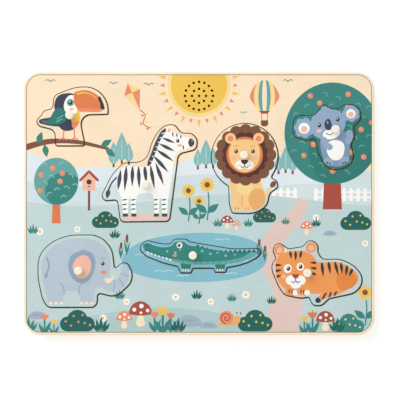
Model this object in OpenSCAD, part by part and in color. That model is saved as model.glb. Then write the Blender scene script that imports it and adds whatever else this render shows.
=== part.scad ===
// Wooden peg puzzle with sound: a framed board, seven lift-out animals on pegs, and the
// electronics that play a sound when an animal covers its light sensor.
// Millimetres, the board lies on its back, +Z up, +Y to the top edge of the picture.

/* [Board] */
// Width of the whole board
board_width = 300; // [296:1:340]
// Height of the whole board from bottom edge to top edge
board_height = 225; // [220:1:260]
// Radius of the board's corners
corner_radius = 14.5; // [12:0.5:20]
// Thickness of the frame's walls
wall = 5; // [4:0.25:5.5]
// Width of bare wood left beside the front panel
rim = 2.2; // [1.6:0.1:3]
// Rounding of the frame's outer edges
edge_round = 1.2; // [0.6:0.1:1.5]
// Gap between a panel and the frame round it
joint_gap = 0.5; // [0.2:0.05:0.8]

/* [Layers] */
// Thickness of the front panel and of the animals cut from it
front_thickness = 5; // [4:0.5:8]
// Thickness of the floor board under the cut-outs
floor_thickness = 3; // [2.5:0.5:5]
// Height of the hollow between floor board and back panel
hollow = 12; // [12:0.5:18]
// Thickness of the back panel
back_thickness = 3; // [3:0.25:5]

/* [Animals] */
// Width of the cut between an animal and the front panel
piece_gap = 0.85; // [0.7:0.05:1.2]
// Board that the animals are drawn for; they grow and shrink with the real one
drawn_board = [300, 225]; // [200:1:400]
// Toucan's peg from the left and top edges of the drawn board
toucan_place = [40, 37.5]; // [30:0.5:150]
// Zebra's peg from the left and top edges of the drawn board
zebra_place = [104.5, 96.5]; // [30:0.5:150]
// Lion's peg from the right and top edges of the drawn board
lion_place = [111.5, 71.5]; // [30:0.5:150]
// Koala's peg from the right and top edges of the drawn board
koala_place = [33.5, 49.5]; // [30:0.5:150]
// Elephant's peg from the left and bottom edges of the drawn board
elephant_place = [47.5, 55]; // [30:0.5:150]
// Crocodile's peg from the left and bottom edges of the drawn board
crocodile_place = [145, 68]; // [30:0.5:150]
// Tiger's peg from the right and bottom edges of the drawn board
tiger_place = [57.5, 53]; // [30:0.5:150]

/* [Pegs] */
// Diameter of a peg
peg_diameter = 7; // [6:0.5:12]
// Height of a peg above its animal
peg_height = 10; // [6:0.5:16]
// Rounding of a peg's top edge
peg_round = 1.6; // [0.8:0.1:3]
// Diameter of the tenon that is glued into the animal
tenon_diameter = 5; // [4:0.5:6]
// Depth of the tenon in the animal
tenon_depth = 3; // [2:0.25:3]

/* [Speaker] */
// Middle of the grille from the top edge
grille_from_top = 20.5; // [20:0.5:26]
// Diameter of a grille hole
grille_hole = 2; // [1.4:0.1:2.4]
// Step from one ring of grille holes to the next
grille_step = 6; // [5:0.1:6]
// Diameter of the speaker
speaker_diameter = 29; // [28.5:0.1:29.5]
// Depth of the speaker behind its gasket
speaker_depth = 7; // [6.5:0.25:9]

/* [Electronics] */
// Gap between the speaker and the circuit board below it
circuit_gap = 6.5; // [4:0.5:10]
// Width and height of the circuit board
circuit_size = [46, 32]; // [30:1:50]
// Thickness of the circuit board
circuit_thickness = 1.6; // [1:0.1:2]
// Height of the spacers under the circuit board
spacer_height = 3; // [2:0.25:4]
// Diameter of a light sensor
sensor_diameter = 5; // [4:0.25:6]
// Diameter of a lead
lead_diameter = 1.4; // [1:0.1:1.6]

/* [Battery box] */
// Middle of the two cells from the middle of the board
battery_place = [36, -10]; // [-20:1:40]
// Thickness of the box's walls
box_wall = 1.6; // [1.4:0.1:2]
// Thickness of the cover
cover_thickness = 2; // [1.8:0.1:2.2]
// Play round the cover in its seat
cover_gap = 0.4; // [0.35:0.05:0.6]
// Diameter of the cover screw
cover_screw_diameter = 2.5; // [2:0.1:2.6]

/* [Switch] */
// Middle of the switch from the middle of the board
switch_place = [-28, -8]; // [-30:1:-6]
// Travel of the slider
switch_travel = 4; // [2:0.5:5]
// Width and depth of the slider's knob
knob_size = [3.4, 3]; // [2.5:0.1:4]

/* [Screws] */
// Diameter of the screws in the back panel
back_screw_diameter = 3; // [2.5:0.25:3.5]
// Length of the screws in the back panel
back_screw_length = 11; // [8:0.5:12]
// Side of the wooden blocks that hold those screws
block = 12; // [10:0.5:14]
// Inner blocks from the board's middle line
block_from_middle = 48; // [40:1:70]
// Diameter of the posts between back panel and floor board
post_diameter = 10; // [8:0.5:12]

/* [Hidden] */
$fn = 48;
// Standard AAA cells
cell_diameter = 10.5;
cell_length = 44.5;
// Play of glued and pressed fits, and of parts that slide
fit = 0.05;
play = 0.35;
// Largest distance from an arc to its chords
flatness = 0.03;

// Heights of the layers
back_top = back_thickness;
floor_bottom = back_top + hollow;
floor_top = floor_bottom + floor_thickness;
board_top = floor_top + front_thickness;

// How far the real board is stretched from the drawn one
stretch = [board_width / drawn_board.x, board_height / drawn_board.y];
function stretched(p) = [p.x * stretch.x, p.y * stretch.y];

// Places measured from the nearest edges
function from_top_left(p) = stretched([p.x - drawn_board.x / 2, drawn_board.y / 2 - p.y]);
function from_top_right(p) = stretched([drawn_board.x / 2 - p.x, drawn_board.y / 2 - p.y]);
function from_bottom_left(p) = stretched([p.x - drawn_board.x / 2, p.y - drawn_board.y / 2]);
function from_bottom_right(p) = stretched([drawn_board.x / 2 - p.x, p.y - drawn_board.y / 2]);
toucan_at = from_top_left(toucan_place);
zebra_at = from_top_left(zebra_place);
lion_at = from_top_right(lion_place);
koala_at = from_top_right(koala_place);
elephant_at = from_bottom_left(elephant_place);
crocodile_at = from_bottom_left(crocodile_place);
tiger_at = from_bottom_right(tiger_place);
speaker_at = [0, board_height / 2 - grille_from_top];
// The animals lie towards the top left of their cut-outs
rest = [-piece_gap / 3, piece_gap / 3];

// Cut lines round the animals, as corners [x, y, radius] from the peg, counter-clockwise
toucan_line = [
    [32.5, 1, 1.2], [32.5, 11, 25], [25.5, 20.5, 25], [17, 24.5, 25], [5, 24.5, 40],
    [-13.5, 17.5, 6], [-15, 6, 3], [-22.5, 4, 3], [-24, 1, 5], [-29, -4.5, 3],
    [-27, -9, 6], [-13, -12.5, 6], [-12.5, -26, 2.5], [13, -26, 2], [9.5, -9.5, 20],
    [9.5, 0.5, 10]
];
zebra_line = [
    [44.5, 39, 7], [39, 44, 7], [30.5, 44, 5], [25, 51, 6], [18, 51.5, 20], [12.5, 47.5, 25],
    [6, 38.5, 40], [0.5, 19.5, 12], [-19, 18.5, 8], [-28.5, 9, 30], [-37.5, -9, 4],
    [-35.5, -14, 4], [-24, -13, 3], [-21.5, -32, 4], [20.5, -31.5, 4], [28, 26, 6],
    [43.5, 30, 5]
];
lion_line = [
    [31.5, -4, 28.5], [24.5, 18.5, 28.5], [3.5, 29.5, 28.5], [-19, 22.5, 28.5],
    [-30, 1.5, 28.5], [-23.5, -19, 28.5], [-13, -26.5, 2], [-12.5, -42, 30], [-10, -49.5, 3],
    [10.5, -50, 25], [20, -42.5, 12], [22, -32.5, 6], [29.5, -27, 3], [28, -21.5, 3],
    [23, -19.5, 2]
];
koala_line = [
    [-36, 8.5, 6], [-36, -6, 5], [-24, -9.5, 4], [-17, -7, 3], [-14.5, -20, 30],
    [-9.5, -30, 20], [-3.5, -34.5, 15], [5.5, -34, 15], [13.5, -29.5, 12], [16, -23, 12],
    [13.5, -12.5, 4], [17.5, -4.5, 10], [15.5, 2.5, 2.5], [22, 8, 9], [22, 16, 9],
    [16, 21.5, 9], [8, 21.5, 9], [0.5, 16, 8], [-10.5, 22, 3], [-17, 12.5, 5], [-31, 12, 6]
];
elephant_line = [
    [32.5, -22, 15], [45.5, -10, 15], [45.5, -1, 15], [41.5, 7, 5], [36.5, 6.5, 6],
    [30.5, 1.5, 1], [28.5, 18, 18], [21.5, 26.5, 18], [13.5, 30.5, 18], [-8, 30.5, 40],
    [-22.5, 25, 35], [-32.5, 16, 25], [-35, 7, 25], [-35, -7, 40], [-31, -25, 25],
    [-26.5, -31.5, 6], [15.5, -31.5, 5.5], [16, -19, 2.5], [26, -21.5, 20]
];
crocodile_line = [
    [-45, 8, 5], [-45, 4, 5], [-39.5, -1, 10], [-25.5, -6.5, 40], [-13, -9.5, 1],
    [-10.5, -15, 1], [-1.5, -15, 1], [0, -11, 1], [17.5, -11, 1], [19, -14.5, 1],
    [28, -14.5, 1.2], [29, -10.5, 1], [40, -8.5, 30], [53.5, -3.5, 25], [59, 2.5, 3],
    [56, 6, 3], [33.5, 5.5, 60], [-2.5, 11.5, 5], [-6, 14, 4], [-16, 14, 4], [-19, 10, 2],
    [-25.5, 9.5, 30], [-40, 13, 5]
];
tiger_line = [
    [-26.5, 12.5, 2], [-30, 8, 8], [-30, 2, 12], [-24, -12.5, 30], [-19, -19, 8],
    [-4.5, -22, 20], [1.5, -20.5, 2], [5, -28, 5], [12.5, -28, 6], [19, -22, 5],
    [40.5, -17.5, 14], [47, -10.5, 14], [47, -2, 14], [40, 6.5, 20], [28, 12, 20],
    [12.5, 11.5, 6], [9, 18.5, 4], [10, 23.5, 6], [5, 27.5, 6], [1, 27.5, 6],
    [-4, 22.5, 3], [-16, 20.5, 4], [-22.5, 25, 5], [-27, 25, 5], [-29.5, 19.5, 6]
];
animals = [
    [toucan_line, toucan_at], [zebra_line, zebra_at], [lion_line, lion_at],
    [koala_line, koala_at], [elephant_line, elephant_at], [crocodile_line, crocodile_at],
    [tiger_line, tiger_at]
];

// Battery box in its own frame: cells along X, hinge at -X, cover screw at +X
contact_room = 3;
cell_pitch = cell_diameter + 0.7;
cells_length = cell_length + 2 * contact_room;
cells_width = 2 * cell_diameter + 1.6;
boss_length = 8;
seat_ledge = 1.2;
seat_depth = cover_thickness + 0.4;
cell_height = seat_depth + 0.2 + cell_diameter / 2;
box_left = -cells_length / 2 - seat_ledge - box_wall;
box_right = cells_length / 2 + boss_length + box_wall;
box_half = cells_width / 2 + seat_ledge + box_wall;
box_top = cell_height + cell_diameter / 2 + 0.3 + 1.2;
flange = 7;
flange_thickness = 1.4;
cover_bottom = 0.2;
hinge = [box_left + box_wall + cover_gap + cover_thickness / 2, cover_bottom + cover_thickness / 2];
hinge_pin = 0.8;
cover_half = box_half - box_wall - cover_gap;
cover_right = box_right - box_wall - cover_gap;
screw_at = cells_length / 2 + boss_length / 2;
insert_bore = cover_screw_diameter + 1.3;
insert_diameter = insert_bore + 1.2;
insert_length = 5;
contact_thickness = 0.4;

// Circuit board and leads
circuit_bottom = back_top + spacer_height;
circuit_top = circuit_bottom + circuit_thickness;
circuit_place = [0, speaker_at.y - speaker_diameter / 2 - circuit_gap - circuit_size.y / 2];
circuit_hole = circuit_size / 2 - [2.5, 2.5];
pad_inset = 2;
pad_step = 7;
pad_row = pad_inset + 1 - circuit_size.y / 2;
resistor_row = pad_row + 4;
lead_level = floor_bottom - 3.5;
sensor_flange = 1.2;
gasket = 0.8;
posts = [for (p = [[-80, 10], [100, 10], [-32, -80], [48, -80]]) stretched(p)];
screw_spots = [
    for (x = [board_width / 2 - corner_radius - block / 2, block_from_middle], sx = [-1, 1], sy = [-1, 1])
        [sx * x, sy * (board_height / 2 - wall - block / 2)]
];

// Outlines with rounded corners

function flat(p) = [p.x, p.y];
function unit(v) = v / norm(v);
function cross_2d(a, b) = a.x * b.y - a.y * b.x;
function way(line, i) = let (n = len(line)) unit(flat(line[(i + 1) % n]) - flat(line[(i + n) % n]));
function turn(line, i) = let (n = len(line)) acos(min(1, way(line, (i + n - 1) % n) * way(line, i % n)));

// A drawn cut line at the real board's size
function fitted(line) = [for (c = line) [c.x * stretch.x, c.y * stretch.y, c.z * min(stretch)]];

// The outline with every side moved out by d
function grown(line, d) = [
    for (i = [0 : len(line) - 1])
        let (
            before = way(line, i + len(line) - 1),
            after = way(line, i),
            n1 = [before.y, -before.x],
            n2 = [after.y, -after.x],
            move = d * (n1 + n2) / (1 + n1 * n2),
            side = cross_2d(before, after) > 0 ? 1 : -1
        )
        [line[i].x + move.x, line[i].y + move.y, max(0.2, line[i].z + side * d)]
];

// How far each corner's arc reaches along its sides, less where two arcs would meet
function reaches(line) =
    let (
        n = len(line),
        full = [for (i = [0 : n - 1]) line[i].z * tan(turn(line, i) / 2)],
        share = [
            for (i = [0 : n - 1])
                min(1, 0.96 * norm(flat(line[(i + 1) % n]) - flat(line[i])) / (full[i] + full[(i + 1) % n]))
        ]
    )
    [for (i = [0 : n - 1]) full[i] * min(share[i], share[(i + n - 1) % n])];

// Points of the outline with each corner as an arc
function rounded(line) =
    let (reach = reaches(line))
    [
        for (i = [0 : len(line) - 1])
            let (
                before = way(line, i + len(line) - 1),
                angle = turn(line, i),
                side = cross_2d(before, way(line, i)) > 0 ? 1 : -1,
                r = reach[i] / tan(angle / 2),
                start = flat(line[i]) - reach[i] * before,
                middle = start + side * r * [-before.y, before.x],
                steps = max(1, ceil(angle / (2 * acos(1 - min(1, flatness / r)))))
            )
            for (k = [0 : steps])
                let (a = side * angle * k / steps, v = start - middle)
                middle + [v.x * cos(a) - v.y * sin(a), v.x * sin(a) + v.y * cos(a)]
    ];

// Rounded rectangle round the middle of the board
function sheet(width, height, r) = rounded([
    [width / 2, -height / 2, r], [width / 2, height / 2, r],
    [-width / 2, height / 2, r], [-width / 2, -height / 2, r]
]);

// Shared shapes

module at(p, z = 0) translate([p.x, p.y, z]) children();

// A panel that lies within the rim
module panel(thickness) {
    inset = rim + joint_gap;
    linear_extrude(thickness)
        polygon(sheet(board_width - 2 * inset, board_height - 2 * inset, corner_radius - inset));
}

// A cross-headed countersunk screw, head down, tip up
module screw(d, length) {
    difference() {
        rotate_extrude() polygon([
            [0, 0], [d, 0], [d / 2, d / 2], [d / 2, length - d / 2], [0, length]
        ]);
        for (a = [0, 90])
            rotate([0, 0, a]) translate([-0.55 * d, -0.1 * d, -1]) cube([1.1 * d, 0.2 * d, 1 + 0.35 * d]);
    }
}

// The hole that clears such a screw, open below
module screw_room(d, length) {
    rotate_extrude() polygon([
        [0, -1], [d + fit, -1], [d + fit, 0], [d / 2 + fit, d / 2],
        [d / 2 + fit, length + fit], [0, length + fit]
    ]);
}

// A round lead through a list of points
module lead(points) {
    for (i = [0 : len(points) - 2]) {
        run = points[i + 1] - points[i];
        translate(points[i])
            rotate([0, acos(run.z / norm(run)), atan2(run.y, run.x)])
                cylinder(d = lead_diameter, h = norm(run), $fn = 16);
    }
    for (i = [1 : len(points) - 2])
        translate(points[i]) sphere(d = 1.15 * lead_diameter, $fn = 16);
}

// A lead from one point to another at the leads' own level
function route(from, to, between = []) = concat(
    [from, [from.x, from.y, lead_level]],
    [for (p = between) [p.x, p.y, lead_level]],
    [[to.x, to.y, lead_level], to]
);

// Case

// Section of the frame, from the middle of the corner's arc outwards
function frame_section() =
    let (
        out = corner_radius,
        step = out - rim,
        inner = out - wall,
        e = edge_round
    )
    concat(
        [[step, 0]],
        [for (a = [-90 : 15 : 0]) [out - e + e * cos(a), e + e * sin(a)]],
        [for (a = [0 : 15 : 90]) [out - e + e * cos(a), board_top - e + e * sin(a)]],
        [[step, board_top], [step, floor_bottom], [inner, floor_bottom], [inner, back_top], [step, back_top]]
    );

// One rail with half a corner at each end, mitred to the next
module rail(length) {
    translate([-length / 2, 0, 0]) rotate([90, 0, 90]) linear_extrude(length) polygon(frame_section());
    for (side = [0, 1])
        mirror([side, 0, 0]) translate([-length / 2, 0, 0])
            rotate([0, 0, 90]) rotate_extrude(angle = 45, $fn = 96) polygon(frame_section());
}
module frame_top() color("#efe0c4")
    translate([0, board_height / 2 - corner_radius, 0]) rail(board_width - 2 * corner_radius);
module frame_bottom() color("#efe0c4")
    translate([0, corner_radius - board_height / 2, 0])
        rotate([0, 0, 180]) rail(board_width - 2 * corner_radius);
module frame_left() color("#efe0c4")
    translate([corner_radius - board_width / 2, 0, 0])
        rotate([0, 0, 90]) rail(board_height - 2 * corner_radius);
module frame_right() color("#efe0c4")
    translate([board_width / 2 - corner_radius, 0, 0])
        rotate([0, 0, -90]) rail(board_height - 2 * corner_radius);

// Printed plywood with the cut-outs and the grille
module front_panel() color("#d9e2d6")
    difference() {
        translate([0, 0, floor_top]) panel(front_thickness);
        for (a = animals)
            at(a[1], floor_top - 1)
                linear_extrude(front_thickness + 2) polygon(rounded(grown(fitted(a[0]), piece_gap / 2)));
        for (ring = [0 : 2], k = [0 : max(0, 8 * ring - 1)])
            at(speaker_at, floor_top - 1)
                rotate([0, 0, 90 + 45 * k / max(1, ring)]) translate([ring * grille_step, 0, 0])
                    cylinder(d = grille_hole, h = front_thickness + 2, $fn = 24);
    }

// Floor of the cut-outs, with a sensor hole in each and an opening for the speaker
module floor_board() color("#e3cfa8")
    difference() {
        translate([0, 0, floor_bottom]) panel(floor_thickness);
        for (a = animals)
            at(a[1], floor_bottom - 1) cylinder(d = sensor_diameter + 2 * fit, h = floor_thickness + 2);
        at(speaker_at, floor_bottom - 1) cylinder(d = 4 * grille_step + grille_hole, h = floor_thickness + 2);
    }

module back_panel() color("#e3cfa8")
    difference() {
        panel(back_thickness);
        for (p = screw_spots) at(p) screw_room(back_screw_diameter, back_screw_length);
        at(battery_place, -1)
            translate([box_left - fit, -box_half - fit, 0])
                cube([box_right - box_left + 2 * fit, 2 * box_half + 2 * fit, back_thickness + 2]);
        at(switch_place, -1)
            translate([-(switch_travel + knob_size.x) / 2 - play, -knob_size.y / 2 - play, 0])
                cube([switch_travel + knob_size.x + 2 * play, knob_size.y + 2 * play, back_thickness + 2]);
        for (p = circuit_holes()) at(p, circuit_top) mirror([0, 0, 1]) pan_room(small_screw_length());
        for (p = flange_holes())
            at(p, back_top + flange_thickness) mirror([0, 0, 1]) pan_room(box_screw_length());
    }

module screw_blocks() color("#d8b98a")
    for (p = screw_spots)
        difference() {
            at(p, back_top) translate([-block / 2, -block / 2, 0]) cube([block, block, hollow]);
            at(p) screw_room(back_screw_diameter, back_screw_length);
        }

module support_posts() color("#d8b98a")
    for (p = posts) at(p, back_top) cylinder(d = post_diameter, h = hollow);

module back_screws() color("#c9b26a")
    for (p = screw_spots) at(p) screw(back_screw_diameter, back_screw_length);

// Animals and pegs

module animal(line, place)
    translate([place.x + rest.x, place.y + rest.y, floor_top])
        difference() {
            linear_extrude(front_thickness) polygon(rounded(grown(fitted(line), -piece_gap / 2)));
            translate([0, 0, front_thickness - tenon_depth])
                cylinder(d = tenon_diameter + 2 * fit, h = tenon_depth + 1);
        }

module peg(place)
    color("#f4ead6")
        translate([place.x + rest.x, place.y + rest.y, board_top])
            rotate_extrude() polygon(concat(
                [
                    [0, -tenon_depth], [tenon_diameter / 2, -tenon_depth],
                    [tenon_diameter / 2, 0], [peg_diameter / 2, 0]
                ],
                [
                    for (a = [0 : 15 : 90])
                        [
                            peg_diameter / 2 - peg_round + peg_round * cos(a),
                            peg_height - peg_round + peg_round * sin(a)
                        ]
                ],
                [[0, peg_height]]
            ));

module toucan_piece() color("#373c50") animal(toucan_line, toucan_at);
module zebra_piece() color("#f2f0ea") animal(zebra_line, zebra_at);
module lion_piece() color("#7d4e37") animal(lion_line, lion_at);
module koala_piece() color("#92aac5") animal(koala_line, koala_at);
module elephant_piece() color("#bac7d1") animal(elephant_line, elephant_at);
module crocodile_piece() color("#2d8278") animal(crocodile_line, crocodile_at);
module tiger_piece() color("#f09b55") animal(tiger_line, tiger_at);
module toucan_peg() peg(toucan_at);
module zebra_peg() peg(zebra_at);
module lion_peg() peg(lion_at);
module koala_peg() peg(koala_at);
module elephant_peg() peg(elephant_at);
module crocodile_peg() peg(crocodile_at);
module tiger_peg() peg(tiger_at);

// Sensors and speaker

// Sensor heads in the floor board, flanges glued under it
module light_sensors() color("#b5482f")
    for (a = animals)
        at(a[1], floor_bottom) {
            cylinder(d = sensor_diameter, h = floor_thickness - 0.5);
            translate([0, 0, -sensor_flange]) cylinder(d = sensor_diameter + 2, h = sensor_flange);
        }

module speaker_gasket() color("#2b2b2e")
    at(speaker_at, floor_bottom - gasket)
        difference() {
            cylinder(d = speaker_diameter, h = gasket);
            translate([0, 0, -1]) cylinder(d = 4 * grille_step + grille_hole, h = gasket + 2);
        }

// Pressed steel bowl with a flat flange
module speaker_basket() color("#9aa0a6")
    at(speaker_at, floor_bottom - gasket - speaker_depth)
        rotate_extrude() polygon([
            [5, 0], [8, 0], [12.5, speaker_depth - 1], [speaker_diameter / 2, speaker_depth - 1],
            [speaker_diameter / 2, speaker_depth], [12, speaker_depth], [7.4, 1], [5, 1]
        ]);

// Paper cone with its dust cap, glued inside the bowl's flange
module speaker_cone() color("#3a3734")
    at(speaker_at, floor_bottom - gasket - speaker_depth)
        rotate_extrude() polygon([
            [0, 3.2], [3.4, 2.4], [10.8, speaker_depth - 1.3], [12 - fit, speaker_depth],
            [10.8, speaker_depth - 0.6], [4, 3.4], [2.4, 4], [0, 4.2]
        ]);

module speaker_magnet() color("#56595e")
    at(speaker_at, floor_bottom - gasket - speaker_depth - 1.6) {
        cylinder(d = 12, h = 1.6);
        translate([0, 0, 1.6]) cylinder(d = 9.8, h = 1.2);
    }

// Circuit board

function circuit_holes() = [
    for (sx = [-1, 1], sy = [-1, 1]) circuit_place + [sx * circuit_hole.x, sy * circuit_hole.y]
];
function small_screw_length() = circuit_thickness + spacer_height + back_thickness - 0.8;
function box_screw_length() = flange_thickness + back_thickness - 0.8;

// A small round-headed screw, tip up, its head below zero
module pan_screw(length) {
    difference() {
        translate([0, 0, -1.2]) cylinder(d = 3.6, h = 1.2, $fn = 24);
        for (a = [0, 90]) rotate([0, 0, a]) translate([-1.2, -0.2, -2]) cube([2.4, 0.4, 1.4]);
    }
    cylinder(d = 2, h = length, $fn = 24);
}
module pan_room(length) translate([0, 0, -1]) cylinder(d = 2 + 2 * fit, h = length + 1 + fit, $fn = 24);

module circuit_board() color("#2f6b4a")
    difference() {
        at(circuit_place, circuit_bottom)
            translate([-circuit_size.x / 2, -circuit_size.y / 2, 0])
                cube([circuit_size.x, circuit_size.y, circuit_thickness]);
        for (p = circuit_holes()) at(p, circuit_top) mirror([0, 0, 1]) pan_room(small_screw_length());
    }

module board_spacers() color("#f0ede4")
    for (p = circuit_holes())
        difference() {
            at(p, back_top) cylinder(d = 4.6, h = spacer_height, $fn = 24);
            at(p, circuit_top) mirror([0, 0, 1]) pan_room(small_screw_length());
        }

module board_screws() color("#b9bcc0")
    for (p = circuit_holes()) at(p, circuit_top) mirror([0, 0, 1]) pan_screw(small_screw_length());

// Bare chip under a drop of black resin
module sound_chip() color("#1f1f22")
    at(circuit_place + [-6, resistor_row + 7.5], circuit_top)
        intersection() {
            translate([0, 0, -7]) sphere(r = 9);
            translate([-6, -6, 0]) cube([12, 12, 3]);
        }

module amplifier_chip() color("#2a2a2d")
    at(circuit_place + [8, resistor_row + 5], circuit_top) translate([-2.5, -2, 0]) cube([5, 4, 1.6]);

module capacitor() color("#27508a")
    at(circuit_place + [8, resistor_row + 13.2], circuit_top + 2.5)
        rotate([0, 90, 0]) translate([0, 0, -4.5]) cylinder(d = 5, h = 9);

module resistors() color("#e0d2b0")
    for (k = [0 : 4])
        at(circuit_place + [3 * k - 4, resistor_row], circuit_top)
            translate([-0.8, -1.6, 0]) cube([1.6, 3.2, 0.6]);

// Battery box

function flange_holes() = [
    for (x = [box_left - flange / 2, box_right + flange / 2], sy = [-1, 1])
        battery_place + [x, sy * (box_half - 4)]
];

module battery_box() color("#33363b")
    difference() {
        at(battery_place) difference() {
            union() {
                translate([box_left, -box_half, 0]) cube([box_right - box_left, 2 * box_half, box_top]);
                translate([box_left - flange, -box_half, back_top])
                    cube([box_right - box_left + 2 * flange, 2 * box_half, flange_thickness]);
            }
            // Room for the cells
            translate([-cells_length / 2, -cells_width / 2, -1])
                cube([cells_length, cells_width, box_top - 1.2 + 1]);
            // Seat of the cover, with a socket at each end of its hinge
            translate([box_left + box_wall, box_wall - box_half, -1])
                cube([box_right - box_left - 2 * box_wall, 2 * box_half - 2 * box_wall, seat_depth + 1]);
            translate([hinge.x, 0, hinge.y]) rotate([90, 0, 0])
                cylinder(r = hinge_pin + play, h = 2 * (box_half - 0.4), center = true);
            // Hole for the brass insert
            translate([screw_at, 0, 0])
                cylinder(d = insert_diameter + 2 * fit, h = seat_depth + insert_length);
            // Slots for the contacts' tabs
            for (sy = [-1, 1])
                translate([box_left - 1, sy * cell_pitch / 2 - 1.2, cell_height - 0.4])
                    cube([5, 2.4, contact_thickness + 0.4]);
        }
        for (p = flange_holes())
            at(p, back_top + flange_thickness) mirror([0, 0, 1]) pan_room(box_screw_length());
    }

module battery_box_screws() color("#b9bcc0")
    for (p = flange_holes())
        at(p, back_top + flange_thickness) mirror([0, 0, 1]) pan_screw(box_screw_length());

// A cell along X, its button towards way
module cell(side, way)
    at(battery_place + [0, side * cell_pitch / 2], cell_height)
        rotate([0, 90 * way, 0]) translate([0, 0, -cell_length / 2]) {
            cylinder(d = cell_diameter, h = cell_length - 1);
            cylinder(d = 3.8, h = cell_length);
        }
module upper_battery() color("#8e9aa6") cell(1, 1);
module lower_battery() color("#8e9aa6") cell(-1, -1);

// A plate on the end wall with a sprung tongue that meets the cell
module contact_plate(width) {
    translate([0, -width / 2, 0]) cube([contact_thickness, width, 7]);
    translate([0, 1.5, 0]) rotate([90, 0, 0]) linear_extrude(3) polygon([
        [contact_thickness / 2, 6], [contact_room, 3.6], [contact_thickness / 2, 1.6],
        [contact_thickness / 2, 2.2], [contact_room - 0.9, 3.6], [contact_thickness / 2, 5.4]
    ]);
}
contact_bottom = cell_height - 3.6;

module bridge_contact() color("#c8ccd0")
    at(battery_place, contact_bottom)
        translate([cells_length / 2, 0, 0]) mirror([1, 0, 0])
            for (sy = [-1, 1]) {
                translate([0, sy * cell_pitch / 2, 0]) contact_plate(8);
                translate([0, -cell_pitch / 2, 0]) cube([contact_thickness, cell_pitch, 1.4]);
            }

// An end contact with a tab through the box's wall
module end_contact(side)
    at(battery_place + [0, side * cell_pitch / 2]) translate([-cells_length / 2, 0, 0]) {
        translate([0, 0, contact_bottom]) contact_plate(8);
        translate([-5, -1, cell_height - 0.2]) cube([5 + contact_thickness, 2, contact_thickness]);
    }
module upper_contact() color("#c8ccd0") end_contact(1);
module lower_contact() color("#c8ccd0") end_contact(-1);

module screw_insert() color("#c9a44a")
    at(battery_place + [screw_at, 0], seat_depth)
        difference() {
            cylinder(d = insert_diameter, h = insert_length - fit);
            translate([0, 0, -1]) cylinder(d = insert_bore, h = insert_length + 2);
        }

// Cover with a round hinge end, a pin at each side and a sunk hole for its screw
module battery_cover() color("#3d4147")
    at(battery_place) difference() {
        union() {
            translate([hinge.x, 0, hinge.y]) rotate([90, 0, 0]) {
                cylinder(d = cover_thickness, h = 2 * cover_half, center = true);
                cylinder(r = hinge_pin, h = 2 * cover_half + 2 * cover_gap + 1.6, center = true);
            }
            translate([hinge.x, -cover_half, cover_bottom])
                cube([cover_right - hinge.x, 2 * cover_half, cover_thickness]);
        }
        translate([screw_at, 0, 0]) {
            translate([0, 0, -1]) cylinder(d = cover_screw_diameter + 2 * play, h = 5);
            translate([0, 0, -1])
                cylinder(d = 2 * cover_screw_diameter + 2 * play, h = 1 + cover_bottom + 1.2);
        }
    }

module cover_screw() color("#b9bcc0")
    at(battery_place + [screw_at, 0], cover_bottom) difference() {
        union() {
            cylinder(d = 2 * cover_screw_diameter, h = 1);
            cylinder(d = cover_screw_diameter, h = cover_thickness + 3);
        }
        for (a = [0, 90]) rotate([0, 0, a]) translate([-1.6, -0.3, -1]) cube([3.2, 0.6, 1.6]);
    }

// Switch

slider_base = [knob_size.x + 1.6, knob_size.y + 1.6, 2];

module switch_body() color("#4a4d52")
    at(switch_place, back_top) difference() {
        translate([-switch_travel / 2 - slider_base.x / 2 - 2, -slider_base.y / 2 - 1.6, 0])
            cube([switch_travel + slider_base.x + 4, slider_base.y + 3.2, 5.5]);
        translate([-(switch_travel + slider_base.x) / 2 - play, -slider_base.y / 2 - play, -1])
            cube([switch_travel + slider_base.x + 2 * play, slider_base.y + 2 * play, 4]);
    }

module switch_slider() color("#e8e6e0")
    at(switch_place - [switch_travel / 2, 0]) {
        translate([-slider_base.x / 2, -slider_base.y / 2, back_top + play]) cube(slider_base);
        translate([-knob_size.x / 2, -knob_size.y / 2, 0.6])
            cube([knob_size.x, knob_size.y, back_top + play]);
    }

// Leads

function on_circuit(x, y) = [circuit_place.x + x, circuit_place.y + y, circuit_top];
function side_pad(side, k) = on_circuit(side * (circuit_size.x / 2 - pad_inset), k * pad_step);
function bottom_pad(x) = on_circuit(x, pad_row);
function under_sensor(p) = [p.x, p.y, floor_bottom - sensor_flange];

module sensor_leads() color("#d7d2c8") {
    lead(route(under_sensor(toucan_at), side_pad(-1, 1)));
    lead(route(under_sensor(elephant_at), side_pad(-1, 0)));
    lead(route(under_sensor(zebra_at), side_pad(-1, -1)));
    lead(route(under_sensor(koala_at), side_pad(1, 1)));
    lead(route(under_sensor(lion_at), side_pad(1, 0)));
    lead(route(
        under_sensor(tiger_at), bottom_pad(16),
        [[battery_place.x + box_right + flange + 4, battery_place.y + box_half + 20]]
    ));
    lead(route(under_sensor(crocodile_at), bottom_pad(-7)));
}

module speaker_leads() color("#b0392e")
    for (side = [-1, 1])
        lead(route(
            [side * 4, speaker_at.y - 13, floor_bottom - gasket - 1],
            on_circuit(side * 4, circuit_size.y / 2 - pad_inset)
        ));

module battery_leads() color("#b0392e")
    for (side = [-1, 1]) {
        tab = battery_place + [box_left - 1, side * cell_pitch / 2];
        bends = side < 0 ? [tab - [5, 0]] : [];
        lead(route([tab.x, tab.y, cell_height + 0.2], bottom_pad(side * 3 + 6), bends));
    }

module switch_leads() color("#2b2b2e")
    for (side = [-1, 1])
        lead(route(
            [switch_place.x + side * 2, switch_place.y, back_top + 5.5],
            bottom_pad(side * 2 - 14)
        ));

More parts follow.
